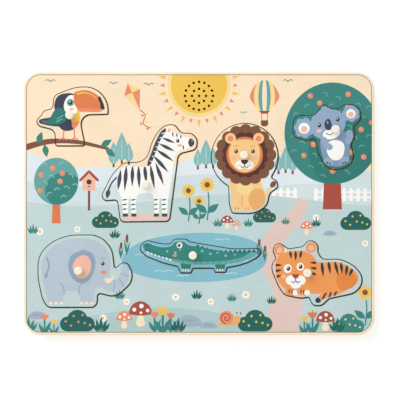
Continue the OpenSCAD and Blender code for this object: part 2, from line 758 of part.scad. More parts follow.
front_panel();
floor_board();
back_panel();
frame_top();
frame_bottom();
frame_left();
frame_right();
screw_blocks();
support_posts();
back_screws();
toucan_piece();
zebra_piece();
lion_piece();
koala_piece();
elephant_piece();
crocodile_piece();
tiger_piece();
toucan_peg();
zebra_peg();
lion_peg();
koala_peg();
elephant_peg();
crocodile_peg();
tiger_peg();
light_sensors();
speaker_basket();
speaker_cone();
speaker_magnet();
speaker_gasket();
circuit_board();
board_spacers();
board_screws();
sound_chip();
amplifier_chip();
capacitor();
resistors();
battery_box();
battery_box_screws();
upper_battery();
lower_battery();
bridge_contact();
upper_contact();
lower_contact();
screw_insert();
battery_cover();
cover_screw();
switch_body();
switch_slider();
sensor_leads();
speaker_leads();
battery_leads();
switch_leads();
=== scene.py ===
"""Looks of a wooden peg puzzle with sound: a printed board in a wooden frame and seven animals on pegs."""

import math

import bmesh
import bpy
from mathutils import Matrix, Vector
from mathutils.geometry import delaunay_2d_cdt, interpolate_bezier


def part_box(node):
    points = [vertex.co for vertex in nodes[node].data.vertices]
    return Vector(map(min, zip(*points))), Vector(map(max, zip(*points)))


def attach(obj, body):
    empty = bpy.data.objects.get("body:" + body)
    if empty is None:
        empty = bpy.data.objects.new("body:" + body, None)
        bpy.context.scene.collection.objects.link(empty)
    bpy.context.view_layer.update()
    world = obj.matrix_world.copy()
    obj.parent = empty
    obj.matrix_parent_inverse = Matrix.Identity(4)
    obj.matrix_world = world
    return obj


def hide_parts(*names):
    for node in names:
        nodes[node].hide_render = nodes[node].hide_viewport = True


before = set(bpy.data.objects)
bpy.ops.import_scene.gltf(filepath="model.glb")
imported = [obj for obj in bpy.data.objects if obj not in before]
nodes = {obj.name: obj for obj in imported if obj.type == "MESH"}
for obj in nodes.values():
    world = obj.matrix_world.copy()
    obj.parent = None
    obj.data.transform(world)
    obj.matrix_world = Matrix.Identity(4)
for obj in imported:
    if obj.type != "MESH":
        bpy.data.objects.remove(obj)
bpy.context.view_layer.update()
board_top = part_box("front_panel")[1].z
MM = 0.001

# Inks of the print
INKS = {
    "cream": "#FAE3C3",
    "mist": "#E1EAEE",
    "haze": "#D2E1E3",
    "meadow": "#C1D6D5",
    "sage": "#AFCBC9",
    "water": "#82BCCB",
    "ripple": "#B4D9E0",
    "dark teal": "#155F56",
    "teal": "#35837B",
    "mid teal": "#64A5A0",
    "light teal": "#86BAB8",
    "orange": "#E07C4B",
    "brick": "#A84A3A",
    "brown": "#7D4E37",
    "bark": "#4A2D20",
    "mustard": "#F0C350",
    "butter": "#F7DC93",
    "coral": "#EB8C69",
    "blush": "#F3BBA4",
    "sand": "#E4C8BE",
    "stone": "#A0B2C3",
    "slate": "#8397AB",
    "white": "#FCFAF5",
    "navy": "#373C50",
    "black": "#2E2F38",
    "zebra black": "#3E4450",
    "elephant": "#B8C6D1",
    "elephant ear": "#8FA6B9",
    "koala": "#92AAC5",
    "koala shade": "#7F98B5",
    "tiger": "#F09B55",
    "tiger shade": "#E5883F",
    "tan": "#F8CB8B",
    "deep tan": "#E9AE68",
    "crocodile": "#2D8278",
    "toucan green": "#28786E",
    # Dark brown of the line at the cuts: laser scorch and painted shade of the cut edge in one
    "scorch and painted shade": "#5C3D24",
}
# Width in millimetres of the dark line round the print at each cut: real laser scorch, and painted shade
# along the cut edges
SCORCH_AND_SHADE = 0.1
# Half the picture's width and height in millimetres, past the board's edges
WIDE = 160
TALL = 130


def linear(code):
    """An sRGB hex colour as linear red, green, blue and alpha."""
    shares = [int(code[i:i + 2], 16) / 255 for i in (1, 3, 5)]
    return [s / 12.92 if s <= 0.04045 else ((s + 0.055) / 1.055) ** 2.4 for s in shares] + [1.0]


# Outlines of the print, in millimetres


def placed(outline, x=0, y=0, turn=0, size=1):
    """An outline sized, turned and moved."""
    c = size * math.cos(math.radians(turn))
    s = size * math.sin(math.radians(turn))
    return [(x + c * u - s * v, y + s * u + c * v) for u, v in outline]


def oval(x, y, across, tall=None, turn=0):
    """A circle or an ellipse, from its half widths."""
    tall = tall or across
    count = 12 + 4 * int(max(across, tall) ** 0.5 * 2)
    ring = [math.tau * i / count for i in range(count)]
    return placed([(across * math.cos(a), tall * math.sin(a)) for a in ring], x, y, turn)


def block(left, low, right, high):
    """A rectangle."""
    return [(left, low), (right, low), (right, high), (left, high)]


def curve(*points, closed=True):
    """A smooth line through points (x, y); a third number of 0 makes a point a sharp corner."""
    spots = [Vector(p[:2]) for p in points]
    bends = [p[2] if len(p) > 2 else 1 for p in points]
    last = len(spots) - 1
    headings = []
    for i, spot in enumerate(spots):
        before = spots[i - 1] if closed or i > 0 else spot
        after = spots[(i + 1) % len(spots)] if closed or i < last else spot
        headings.append((after - before).normalized() * bends[i] / 3)
    line = []
    for i in range(len(spots) if closed else last):
        j = (i + 1) % len(spots)
        chord = (spots[j] - spots[i]).length
        steps = min(14, 4 + int(chord / 2))
        handles = spots[i] + headings[i] * chord, spots[j] - headings[j] * chord
        line += interpolate_bezier(spots[i], *handles, spots[j], steps)[:-1]
    if not closed:
        line.append(spots[-1])
    return [(p[0], p[1]) for p in line]


def stroke(width, *points, tip=None):
    """A brush line with round ends; tip is its width at the far end."""
    line = [Vector(p) for p in curve(*points, closed=False)]
    tip = width if tip is None else tip
    last = len(line) - 1
    ways = [(line[min(i + 1, last)] - line[max(i - 1, 0)]).normalized() for i in range(last + 1)]
    halves = [(width + (tip - width) * i / last) / 2 for i in range(last + 1)]
    sides = [Vector((w.y, -w.x)) * h for w, h in zip(ways, halves)]
    ends = []
    for spot, way, half in ((line[-1], ways[-1], halves[-1]), (line[0], -ways[0], halves[0])):
        across = Vector((way.y, -way.x))
        cap = (0.6, 1.2, 1.9, 2.5)
        ends.append([spot + half * (across * math.cos(a) + way * math.sin(a)) for a in cap])
    there = [spot + side for spot, side in zip(line, sides)]
    back = [spot - side for spot, side in zip(line, sides)][::-1]
    return [tuple(p) for p in there + ends[0] + back + ends[1]]


def leaf(x, y, length, width, turn):
    """A pointed leaf from its stalk."""
    blade = curve((0, 0, 0), (0.45 * length, -width / 2), (length, 0, 0), (0.45 * length, width / 2))
    return placed(blade, x, y, turn)


def hill(level, *waves):
    """The land below a wavy line across the board; each wave is a height, a length and a start."""
    top = [
        (x, level + sum(high * math.sin(x / far + start) for high, far, start in waves))
        for x in range(-WIDE, WIDE + 1, 4)
    ]
    return [(-WIDE, -TALL), (WIDE, -TALL)] + top[::-1]


class Picture:
    """Flat shapes of ink, each painted over the ones before it."""

    def __init__(self, shapes=(), place=(0, 0)):
        self.shapes = list(shapes)
        self.place = place

    def paint(self, ink, *outlines, inside=None):
        """Adds shapes of one ink, kept within an earlier shape if asked. Returns the last one's number."""
        for outline in outlines:
            self.shapes.append((ink, placed(outline, *self.place), inside))
        return len(self.shapes) - 1


# Motifs of the landscape


def sun(art, x, y, r):
    for k in range(28):
        ray = [(r + 2.5, -1.6), (r + (9 if k % 2 else 6.5), 0), (r + 2.5, 1.6)]
        art.paint("mustard" if k % 2 else "coral", placed(ray, x, y, 360 * k / 28))
    art.paint("butter", oval(x, y, r))
    art.paint("mustard", oval(x, y, r - 3))


def kite(art, x, y, turn, first, second):
    top, right, bottom, left, middle = (0, 12), (7.5, 3), (0, -13), (-7.5, 3), (0, 3)
    quarters = ((first, top, left), (second, right, top), (second, left, bottom), (first, bottom, right))
    for ink, a, b in quarters:
        art.paint(ink, placed([middle, a, b], x, y, turn))
    art.paint("brick", placed(stroke(0.7, bottom, (2.5, -19), (-2, -25), (2, -31)), x, y, turn))
    for u, v in ((2.2, -18.5), (-1.6, -24.5), (1.7, -30.5)):
        for ink, side in ((first, -3), (second, 3)):
            art.paint(ink, placed([(u, v), (u + side, v + 1.5), (u + side, v - 1.5)], x, y, turn))


def balloon(art, x, y, r):
    foot = y - 1.75 * r
    for side in (-1, 1):
        art.paint("brown", stroke(0.5, (x + side * 0.22 * r, y - 1.2 * r), (x + side * 0.17 * r, foot)))
    skin = art.paint("coral", curve(
        (x, y + r), (x - r, y), (x - 0.62 * r, y - 0.8 * r), (x - 0.2 * r, y - 1.3 * r, 0),
        (x + 0.2 * r, y - 1.3 * r, 0), (x + 0.62 * r, y - 0.8 * r), (x + r, y)))
    for ink, share in (("butter", 0.72), ("mid teal", 0.42), ("cream", 0.16)):
        art.paint(ink, oval(x, y - 0.12 * r, share * r, 1.3 * r), inside=skin)
    art.paint("brick", block(x - r, y - 1.3 * r, x + r, y - 1.1 * r), inside=skin)
    art.paint("brown", curve(
        (x - 0.24 * r, foot, 0), (x - 0.2 * r, foot - 0.36 * r), (x + 0.2 * r, foot - 0.36 * r),
        (x + 0.24 * r, foot, 0)))


def bird(art, x, y, size):
    wings = stroke(0.9, (-5, 1.6), (-2.4, 2.2), (0, 0, 0), (2.4, 2.2), (5, 1.6))
    art.paint("teal", placed(wings, x, y, 0, size))


def round_tree(art, x, y, r, trunk, inks, fruit):
    crown, shade, mark, bark = inks
    foot = y - r - trunk
    art.paint(bark, [(x - 0.13 * r, y), (x - 0.2 * r, foot), (x + 0.2 * r, foot), (x + 0.13 * r, y)])
    whole = art.paint(crown, oval(x, y, r, 1.06 * r))
    art.paint(shade, oval(x + 0.35 * r, y - 0.4 * r, 0.85 * r, 0.8 * r), inside=whole)
    # Leaf marks and fruit lie on a sunflower spiral, which spreads them evenly
    for k in range(3 * fruit):
        far = 0.93 * r * math.sqrt((k + 0.5) / (3 * fruit))
        u = x + far * math.cos(2.4 * k)
        v = y + far * math.sin(2.4 * k)
        if k % 3:
            art.paint(mark, placed(stroke(0.9, (-2.2, 0), (0, 1.5), (2.2, 0)), u, v, 25 * (k % 4) - 40))
        else:
            art.paint("coral", oval(u, v, 2.3))
            art.paint("blush", oval(u - 0.7, v + 0.7, 0.6))


def pointed_tree(art, x, y, high, ink):
    art.paint("brown", block(x - 0.9, y - 3, x + 0.9, y + 2))
    art.paint(ink, curve(
        (x, y + high, 0), (x - 0.24 * high, y + 0.3 * high), (x, y), (x + 0.24 * high, y + 0.3 * high)))
    art.paint("haze", stroke(0.4, (x, y + 0.06 * high), (x, y + 0.7 * high)))


def bush(art, x, y, r, ink, dots):
    for u, v, share in ((-0.95, 0, 0.7), (0.95, 0, 0.7), (0, 0.35, 1)):
        art.paint(ink, oval(x + u * r, y + v * r, share * r))
    art.paint(ink, block(x - 0.95 * r, y - 0.7 * r, x + 0.95 * r, y))
    for u, v in (
        (-1.1, 0.25), (-0.6, -0.15), (-0.35, 0.75), (0.1, 0.2), (0.5, 0.85), (0.7, 0.1), (1.2, -0.1)
    ):
        art.paint(dots, oval(x + u * r, y + v * r, 0.11 * r))


def toadstool(art, x, y, size, cap):
    stalk = curve((-1.7, 0), (-1.2, 4), (-1, 6), (1, 6), (1.2, 4), (1.7, 0))
    hat = curve((-5.5, 5, 0), (-3.8, 9), (0, 10.8), (3.8, 9), (5.5, 5, 0), (0, 4.3))
    art.paint("cream", placed(stalk, x, y, 0, size))
    whole = art.paint(cap, placed(hat, x, y, 0, size))
    for u, v, r in ((-2.8, 7, 0.9), (0.4, 8.6, 1), (3.2, 6.6, 0.8), (0.2, 5.6, 0.6)):
        art.paint("white", placed(oval(u, v, r), x, y, 0, size), inside=whole)


def flower(art, x, y, r, petals, ink, heart):
    for k in range(petals):
        art.paint(ink, placed(oval(0.62 * r, 0, 0.4 * r, 1.95 * r / petals), x, y, 360 * k / petals))
    art.paint(heart, oval(x, y, 0.36 * r))


def sunflower(art, x, y, high, r):
    art.paint("teal", stroke(1.1, (x, y), (x + 0.05 * high, y + high / 2), (x, y + high)))
    for turn in (38, 142):
        art.paint("teal", leaf(x, y + 0.2 * high, 0.42 * high, 0.2 * high, turn))
    flower(art, x, y + high, r, 13, "mustard", "brown")


def tulip(art, x, y, high, ink):
    art.paint("teal", stroke(0.08 * high, (x, y), (x, y + 0.8 * high)))
    art.paint("teal", leaf(x, y, 0.7 * high, 0.18 * high, 64), leaf(x, y, 0.6 * high, 0.18 * high, 118))
    cup = curve(
        (-2.2, 3.6, 0), (-2.3, 1), (0, -0.8), (2.3, 1), (2.2, 3.6, 0), (1.1, 2.2), (0, 4.2, 0), (-1.1, 2.2))
    art.paint(ink, placed(cup, x, y + 0.75 * high, 0, high / 13))


def grass(art, x, y, high, ink):
    for k, turn in ((-2, 122), (-1, 104), (0, 88), (1, 70), (2, 54)):
        art.paint(ink, leaf(x + 0.08 * high * k, y, high * (1 - 0.16 * abs(k)), 0.2 * high, turn))


def bulrush(art, x, y, high):
    art.paint("teal", stroke(0.7, (x, y), (x + 0.6, y + high)))
    art.paint("brown", stroke(2.2, (x + 0.4, y + 0.66 * high), (x + 0.5, y + 0.9 * high)))
    art.paint("teal", leaf(x, y, 0.8 * high, 1.5, 98), leaf(x, y, 0.7 * high, 1.5, 76))


def pebble(art, x, y, across, tall):
    stone = curve((-1, 0, 0), (-0.7, 0.7), (0, 1), (0.75, 0.6), (1, 0, 0), (0, -0.2))
    art.paint("stone", [(x + across * u, y + tall * v) for u, v in stone])
    art.paint("slate", stroke(
        0.6, (x - 0.4 * across, y + 0.3 * tall), (x, y + 0.5 * tall), (x + 0.4 * across, y + 0.35 * tall)))


def snail(art, x, y, size):
    foot = curve((-10, 0, 0), (-4, 2.4), (4, 2.2), (7, 7), (10, 8), (11.4, 5.4), (9.6, 1), (6, -0.4))
    art.paint("deep tan", placed(foot, x, y, 0, size))
    for near, far in (((9, 7), (8.4, 10.6)), ((10.4, 7), (11.6, 10.2))):
        art.paint("deep tan", placed(stroke(0.7, near, far), x, y, 0, size))
        art.paint("bark", placed(oval(*far, 0.7), x, y, 0, size))
    art.paint("coral", placed(oval(-0.6, 6.4, 6.2, 5.8), x, y, 0, size))
    turns = [0.9 * k for k in range(1, 13)]
    coil = [(-0.6 + 0.47 * a * math.cos(a), 6.2 + 0.47 * a * math.sin(a)) for a in turns]
    art.paint("brick", placed(stroke(0.9, *coil), x, y, 0, size))


def fence(art, left, right, y):
    for high in (2.6, 7):
        art.paint("white", block(left, y + high, right, y + high + 1.5))
    for x in range(left + 2, right, 6):
        art.paint("white", [(x - 1.5, y), (x + 1.5, y), (x + 1.5, y + 10), (x, y + 12), (x - 1.5, y + 10)])


def bird_house(art, x, y):
    art.paint("brown", block(x - 1, y, x + 1, y + 20))
    art.paint("blush", [
        (x - 5.5, y + 17), (x + 5.5, y + 17), (x + 5.5, y + 27), (x, y + 33), (x - 5.5, y + 27)])
    art.paint("brick", stroke(2.2, (x - 7.4, y + 26), (x, y + 33.4, 0), (x + 7.4, y + 26)))
    art.paint("bark", oval(x, y + 24.4, 2.2))
    art.paint("brown", stroke(1, (x - 0.6, y + 20.4), (x + 0.6, y + 20.4)))


def landscape():
    """A made-up meadow with a sun, a kite, a balloon, trees and a small lake."""
    art = Picture()
    art.paint("cream", block(-WIDE, -TALL, WIDE, TALL))
    sun(art, 0, 101, 27)
    art.paint("mist", hill(36, (8, 33, 0.4), (3, 13, 1)))
    for x, y, high in (
        (-73, 34, 19), (-66, 37, 24), (-60, 36, 16), (6, 33, 22), (-1, 32, 15), (12, 33, 15), (74, 29, 20),
        (80, 28, 14), (68, 28, 14)
    ):
        pointed_tree(art, x, y, high, "light teal")
    art.paint("haze", hill(20, (6, 27, 2.2), (2, 10, 0)))
    fence(art, 62, 84, 2)
    fence(art, 98, 152, 2)
    ground = art.paint("meadow", hill(3, (5, 41, 0.8)))
    path = stroke(9, (92, 10), (82, -12), (64, -30), (64, -52), (76, -76), (72, -100), (66, -134), tip=32)
    art.paint("sage", hill(-95, (6, 36, 2.4)))
    art.paint("sand", path, inside=ground)
    shore = art.paint("water", curve(
        (-66, -48), (-52, -34), (-24, -27), (8, -25), (38, -29), (54, -38), (57, -51), (40, -62), (6, -67),
        (-34, -65), (-58, -58)))
    for x, y, r in ((-48, -44, 6), (-30, -58, 8), (24, -60, 9), (44, -50, 5), (20, -31, 6), (-14, -62, 5)):
        wave = stroke(0.8, (x - r, y), (x - r / 2, y + 0.9), (x, y), (x + r / 2, y + 0.9), (x + r, y))
        art.paint("ripple", wave, inside=shore)
    round_tree(art, 114, 60, 41, 24, ("teal", "toucan green", "mid teal", "brick"), 17)
    round_tree(art, -122, 19, 19, 17, ("mid teal", "teal", "light teal", "orange"), 5)
    bird_house(art, -94, -6)
    art.paint("brown", stroke(5.5, (-152, 47), (-128, 53), (-104, 52.5), (-78, 47), tip=2.5))
    for x, y, turn in ((-80, 47, -40), (-84, 49, 30), (-138, 51, 70), (-132, 50.5, -80)):
        art.paint("teal", leaf(x, y, 11, 5.5, turn))
    kite(art, -56, 92, 24, "coral", "butter")
    balloon(art, 56, 93, 12.5)
    for x, y, size in ((-43, 101, 0.8), (-73, 102, 0.7), (76, 104, 0.8), (-127, 104, 0.8), (38, 77, 0.6)):
        bird(art, x, y, size)
    for x, y, r, ink, dots in (
        (-80, -16, 7, "dark teal", "mustard"), (56, -12, 6, "dark teal", "coral"),
        (134, -17, 8, "dark teal", "mustard"), (-104, -103, 9, "dark teal", "coral"),
        (48, -103, 9, "dark teal", "mustard"), (128, -105, 8, "teal", "butter")
    ):
        bush(art, x, y, r, ink, dots)
    for x, y, high, r in ((-9, -15, 26, 6), (0, -17, 19, 5), (7, -14, 30, 6.5), (142, -104, 28, 6.5)):
        sunflower(art, x, y, high, r)
    for x, y, size, cap in (
        (24, -21, 1, "brick"), (32, -22, 0.7, "coral"), (92, -26, 1, "coral"), (-50, -104, 1.9, "brick"),
        (-64, -106, 1.3, "coral"), (108, -108, 1.5, "brick")
    ):
        toadstool(art, x, y, size, cap)
    for x, y, high in ((-62, -44, 18), (-67, -47, 14), (51, -46, 16), (56, -49, 13)):
        bulrush(art, x, y, high)
    for x, y, across, tall in ((-8, -104, 11, 9), (8, -106, 8, 5), (112, -27, 6, 4), (-138, -98, 8, 6)):
        pebble(art, x, y, across, tall)
    snail(art, 24, -104, 1)
    for x, y, high, ink in (
        (-38, -110, 18, "coral"), (-31, -112, 24, "mustard"), (-24, -110, 17, "orange"),
        (90, -112, 16, "mustard"), (97, -112, 20, "orange"), (-132, -112, 18, "coral"),
        (-124, -113, 14, "mustard")
    ):
        tulip(art, x, y, high, ink)
    for x, y, r in (
        (-136, -24, 3.4), (-104, -22, 2.8), (-20, -80, 3.4), (40, -78, 3.6), (10, -84, 3), (142, -34, 3),
        (100, -12, 3), (72, -40, 2.6), (-82, -98, 3.4), (-62, -84, 3)
    ):
        flower(art, x, y, r, 8, "white", "mustard")
    for x, y, high, ink in (
        (-142, -26, 9, "teal"), (-72, -30, 9, "dark teal"), (16, -20, 8, "teal"), (42, -20, 8, "teal"),
        (-84, -110, 14, "dark teal"), (-68, -82, 9, "teal"), (-2, -82, 9, "dark teal"),
        (-18, -110, 13, "dark teal"), (-146, -110, 14, "teal"), (100, -20, 8, "dark teal"),
        (28, -84, 8, "teal"), (118, -110, 13, "dark teal"), (74, -18, 7, "teal"), (62, -86, 8, "dark teal")
    ):
        grass(art, x, y, high, ink)
    return art.shapes


# Drawings of the animals, from the middle of the peg


def eye(art, x, y, r):
    art.paint("black", oval(x, y, r, 1.15 * r))
    art.paint("white", oval(x - 0.3 * r, y + 0.4 * r, 0.35 * r))


def elephant(art):
    trunk = art.paint("elephant", stroke(
        13, (18, -7), (29, -13), (37, -9.5), (39.6, -1), (39, 2.5), tip=5.5))
    body = art.paint("elephant", curve(
        (-31.5, -4), (-31, 9), (-22.5, 20), (-8, 26.5), (8, 27), (20, 22), (26.5, 12), (27, 0), (23, -11),
        (15, -15.5), (13.6, -20), (13, -28.8, 0), (0.5, -28.8, 0), (0, -19.5), (-6, -17.5), (-12.5, -19.5),
        (-13, -28.8, 0), (-26, -28.8, 0), (-28.5, -18)))
    for x in (-24, -19.5, -15, 2.4, 6.8, 11.2):
        art.paint("cream", oval(x, -28.6, 1.7, 2), inside=body)
    art.paint(
        "elephant ear", stroke(0.8, (0.2, -20), (0.6, -14), (3, -11)),
        stroke(0.8, (-12.6, -20), (-13, -15), (-16, -11)))
    for a, b in (((30.5, -7), (29, -19)), ((34, -6), (38.4, -15)), ((35.4, -2.4), (44, -6))):
        middle = ((a[0] + b[0]) / 2 + 0.8, (a[1] + b[1]) / 2)
        art.paint("elephant ear", stroke(0.7, a, middle, b), inside=trunk)
    art.paint("elephant ear", stroke(1.5, (-27.4, 11), (-25.4, 4), (-27.4, -3)))
    art.paint("elephant ear", leaf(-27, -1.6, 6, 3.2, -108))
    art.paint("elephant ear", curve(
        (-3, 15), (5, 17.5), (12.5, 13), (14, 3), (9.5, -7.5), (2, -11), (-6, -6), (-9, 4), (-7, 12)))
    art.paint("blush", curve(
        (-1, 11), (5, 13), (9.5, 9.5), (10.5, 2), (7, -5), (2, -7), (-3, -3.5), (-5.2, 4)))
    art.paint("cream", curve((22.5, -6.5, 0), (27.5, -6.6), (31, -3, 0), (28, -9.4), (23, -10.4)))
    art.paint("coral", oval(21.3, -1.6, 2.5, 1.6))
    eye(art, 20.5, 6, 1.6)
    art.paint("elephant ear", stroke(0.7, (18.4, 9.4), (20.6, 10.4), (22.6, 9.6)))


def zebra(art):
    art.paint("sand", oval(0, -29.8, 27, 5.2))
    art.paint("zebra black", stroke(1.3, (-22.5, 8), (-29, 1), (-32, -6)))
    art.paint("zebra black", leaf(-31, -3.5, 9, 4, -104))
    art.paint("zebra black", curve(
        (1.5, 16), (5, 27), (9.6, 38.6), (15.6, 47.4), (21, 46), (13, 38), (9, 27), (5, 16)))
    for k in range(7):
        t = k / 6
        root = (4 + 10 * t, 20 + 25.5 * t - 2 * t * t)
        art.paint("white", stroke(0.7, root, (7.2 + 10 * t, 19 + 25.5 * t)))
    body = art.paint("white", curve(
        (-24, 7), (-18, 15), (-8, 15.4), (3, 16), (8.6, 27), (13, 38), (18.5, 45), (26, 43.5), (34, 40.5),
        (40.5, 38.5), (41.6, 34.4), (36.5, 31), (28, 28.5), (24.4, 20), (22.8, 8), (20.8, -5), (19.2, -14),
        (18.6, -27.5, 0), (14, -27.5, 0), (13.6, -13), (12.8, -11), (12, -13), (11.4, -27.5, 0),
        (7, -27.5, 0), (6.6, -9.5), (0, -7.5), (-7, -9.5), (-7.6, -27.5, 0), (-12, -27.5, 0), (-12.5, -13),
        (-13.4, -11), (-14.4, -13), (-15, -27.5, 0), (-19.4, -27.5, 0), (-20, -14), (-23.6, -3)))
    art.paint("white", curve((17.5, 44, 0), (18, 48), (21.5, 50, 0), (22.5, 47), (22, 43.6, 0)))
    art.paint("blush", curve((18.9, 45, 0), (19.4, 47.4), (21.2, 48.6, 0), (21.6, 46.4), (21, 44.6, 0)))
    for x, top, length, wide, turn in (
        (-21, 13, 19, 3.4, -98), (-16.2, 17, 23, 3.4, -94), (-11, 17, 19, 3.2, -91), (-6, 17, 21, 3.2, -88),
        (-1, 18, 18, 3.2, -84), (4, 17.6, 22, 3.2, -80), (8.5, 19, 21, 3.2, -70), (6.5, 25, 20, 3.2, -48),
        (9, 30, 18.5, 3, -34), (11.4, 35, 15.5, 2.8, -26), (14, 40, 12.5, 2.4, -22)
    ):
        art.paint("zebra black", leaf(x, top, length, wide, turn), inside=body)
    for x in (-17.2, -9.8, 9.2, 16.4):
        for y in (-13, -17, -21):
            art.paint("zebra black", placed(leaf(-3, 0, 5, 1.3, 0), x, y, 8), inside=body)
        art.paint("zebra black", block(x - 3.5, -28, x + 3.5, -24.8), inside=body)
    for x, y, turn in ((23, 45, -80), (26.5, 44.6, -82), (30, 43.5, -84), (32.6, 29.5, 96)):
        art.paint("zebra black", leaf(x, y, 4.8, 1.3, turn), inside=body)
    art.paint("zebra black", oval(40.8, 35.8, 4.2, 4.6), inside=body)
    art.paint("stone", oval(39.8, 37.2, 0.7, 0.5))
    eye(art, 27.6, 37.4, 1.5)
    art.paint("blush", oval(29.2, 33.4, 2.1, 1.3))


def lion(art):
    art.paint("tan", stroke(2.2, (13, -43), (18.4, -37), (20.6, -31), (24, -26.5)))
    art.paint("brown", oval(25.2, -24.8, 3.2, 2.3, 50))
    body = art.paint("tan", curve(
        (-10, -18), (-10.4, -36), (-9.6, -46.8, 0), (9, -47.2, 0), (15.5, -44.4), (18.4, -38), (16.6, -28),
        (11, -18)))
    art.paint("deep tan", oval(12, -38, 8, 9.6), inside=body)
    art.paint("tan", oval(-5.6, -45.4, 4.4, 2.4), oval(2.6, -45.4, 4.4, 2.4))
    for x in (-7, -4.4, 1.2, 3.8):
        art.paint("brown", stroke(0.5, (x, -46.4), (x, -44.6)))
    art.paint("deep tan", stroke(0.9, (-1.6, -30), (-1.4, -38), (-1.4, -44)))
    art.paint("butter", curve((-6, -26), (0, -34), (7, -26)))
    for k in range(16):
        a = math.tau * k / 16
        art.paint("brown", oval(1.6 + 20.8 * math.cos(a), 0.3 + 20.8 * math.sin(a), 5.5))
    art.paint("brown", oval(1.6, 0.3, 21.6))
    for k in range(16):
        a = math.tau * (k + 0.5) / 16
        art.paint("bark", oval(1.2 + 15.8 * math.cos(a), 0.3 + 15.8 * math.sin(a), 3.9))
    art.paint("orange", oval(0.8, 0.2, 15.6))
    for side in (-1, 1):
        art.paint("tan", oval(0.7 + side * 12, 14.4, 4.6))
        art.paint("coral", oval(0.7 + side * 12, 14.2, 2.5))
    art.paint("tan", curve(
        (-12.6, 2), (-9, 11), (0.7, 13.6), (10.4, 11), (14, 2), (10.6, -9), (0.7, -14.6), (-9.2, -9)))
    art.paint("white", oval(-2.8, -8.2, 4.5, 3.8), oval(4.2, -8.2, 4.5, 3.8))
    art.paint("bark", curve((-2.4, -4.6), (0.7, -4), (3.8, -4.6), (0.7, -7.8)))
    art.paint(
        "bark", stroke(0.7, (0.7, -7.4), (0.7, -9.4)),
        stroke(0.7, (-2.4, -9.8), (-0.8, -10.6), (0.7, -9.4), (2.2, -10.6), (3.8, -9.8)))
    for side in (-1, 1):
        eye(art, 0.7 + side * 7.2, 3.4, 1.6)
        art.paint("blush", oval(0.7 + side * 9.4, -2.6, 2.1, 1.5))
        for u, v in ((4.6, -8.2), (3, -9), (5.6, -9.4)):
            art.paint("brown", oval(0.7 + side * u, v, 0.4))
        brow = [(0.7 + side * u, v) for u, v in ((5, 7.4), (7.2, 8.2), (9.2, 7.2))]
        art.paint("deep tan", stroke(0.9, *brow))


def koala(art):
    art.paint("koala shade", curve(
        (-11, -6), (-11.6, -20), (-6.6, -28.8), (0.4, -31.8), (7.4, -30.2), (12.4, -24), (12.4, -14),
        (13.4, -6), (4, -1)))
    art.paint("white", curve(
        (-6.4, -12), (-6.6, -20), (-2.4, -25.6), (3.2, -26), (7.4, -21), (7.2, -12), (0, -9)))
    art.paint("koala", oval(-5.4, -27.4, 4.6, 3.2, -24), oval(7.6, -26.8, 4.6, 3.2, 24))
    art.paint(
        "navy", oval(-6.8, -28.6, 0.9), oval(-4.4, -29.2, 0.8), oval(9, -28.2, 0.9), oval(6.8, -28.8, 0.8))
    for x, y, r in ((-26.4, 1.4, 7.8), (13.6, 13.8, 6.6)):
        for k in range(7):
            art.paint("koala", placed(oval(0.72 * r, 0, 0.42 * r), x, y, 23 + 51.4 * k))
        art.paint("koala", oval(x, y, 0.86 * r))
        art.paint("white", oval(x, y - 0.05 * r, 0.6 * r))
        art.paint("blush", oval(x, y - 0.15 * r, 0.36 * r))
    art.paint("koala", oval(-6.2, 4.6, 15.4, 13.2, 16))
    art.paint("koala", leaf(-9, 15, 6, 3, 118), leaf(-8, 16, 5.5, 3, 92), leaf(-6.5, 16, 5, 2.6, 66))
    art.paint("white", oval(-3, -3.6, 7.6, 4.6, 16))
    art.paint("navy", curve((-8.8, 6.2), (-5.6, 9.2), (-3.4, 6.6), (-3, 1.4), (-5.4, -0.8), (-8.2, 1)))
    art.paint("slate", oval(-6.4, 6, 0.9, 1.5, 10))
    art.paint("navy", stroke(0.7, (-7.6, -3), (-5, -4.6), (-2, -3.4)))
    eye(art, -13.4, 3.6, 1.6)
    eye(art, 2.4, 8.6, 1.6)
    art.paint("blush", oval(-13.6, -1.2, 2.3, 1.5, 16))
    art.paint(
        "koala", stroke(5.6, (11, -10), (12.6, -6.4), (12.2, -3)),
        stroke(5.6, (-9.4, -9), (-8, -13), (-4.6, -15)))


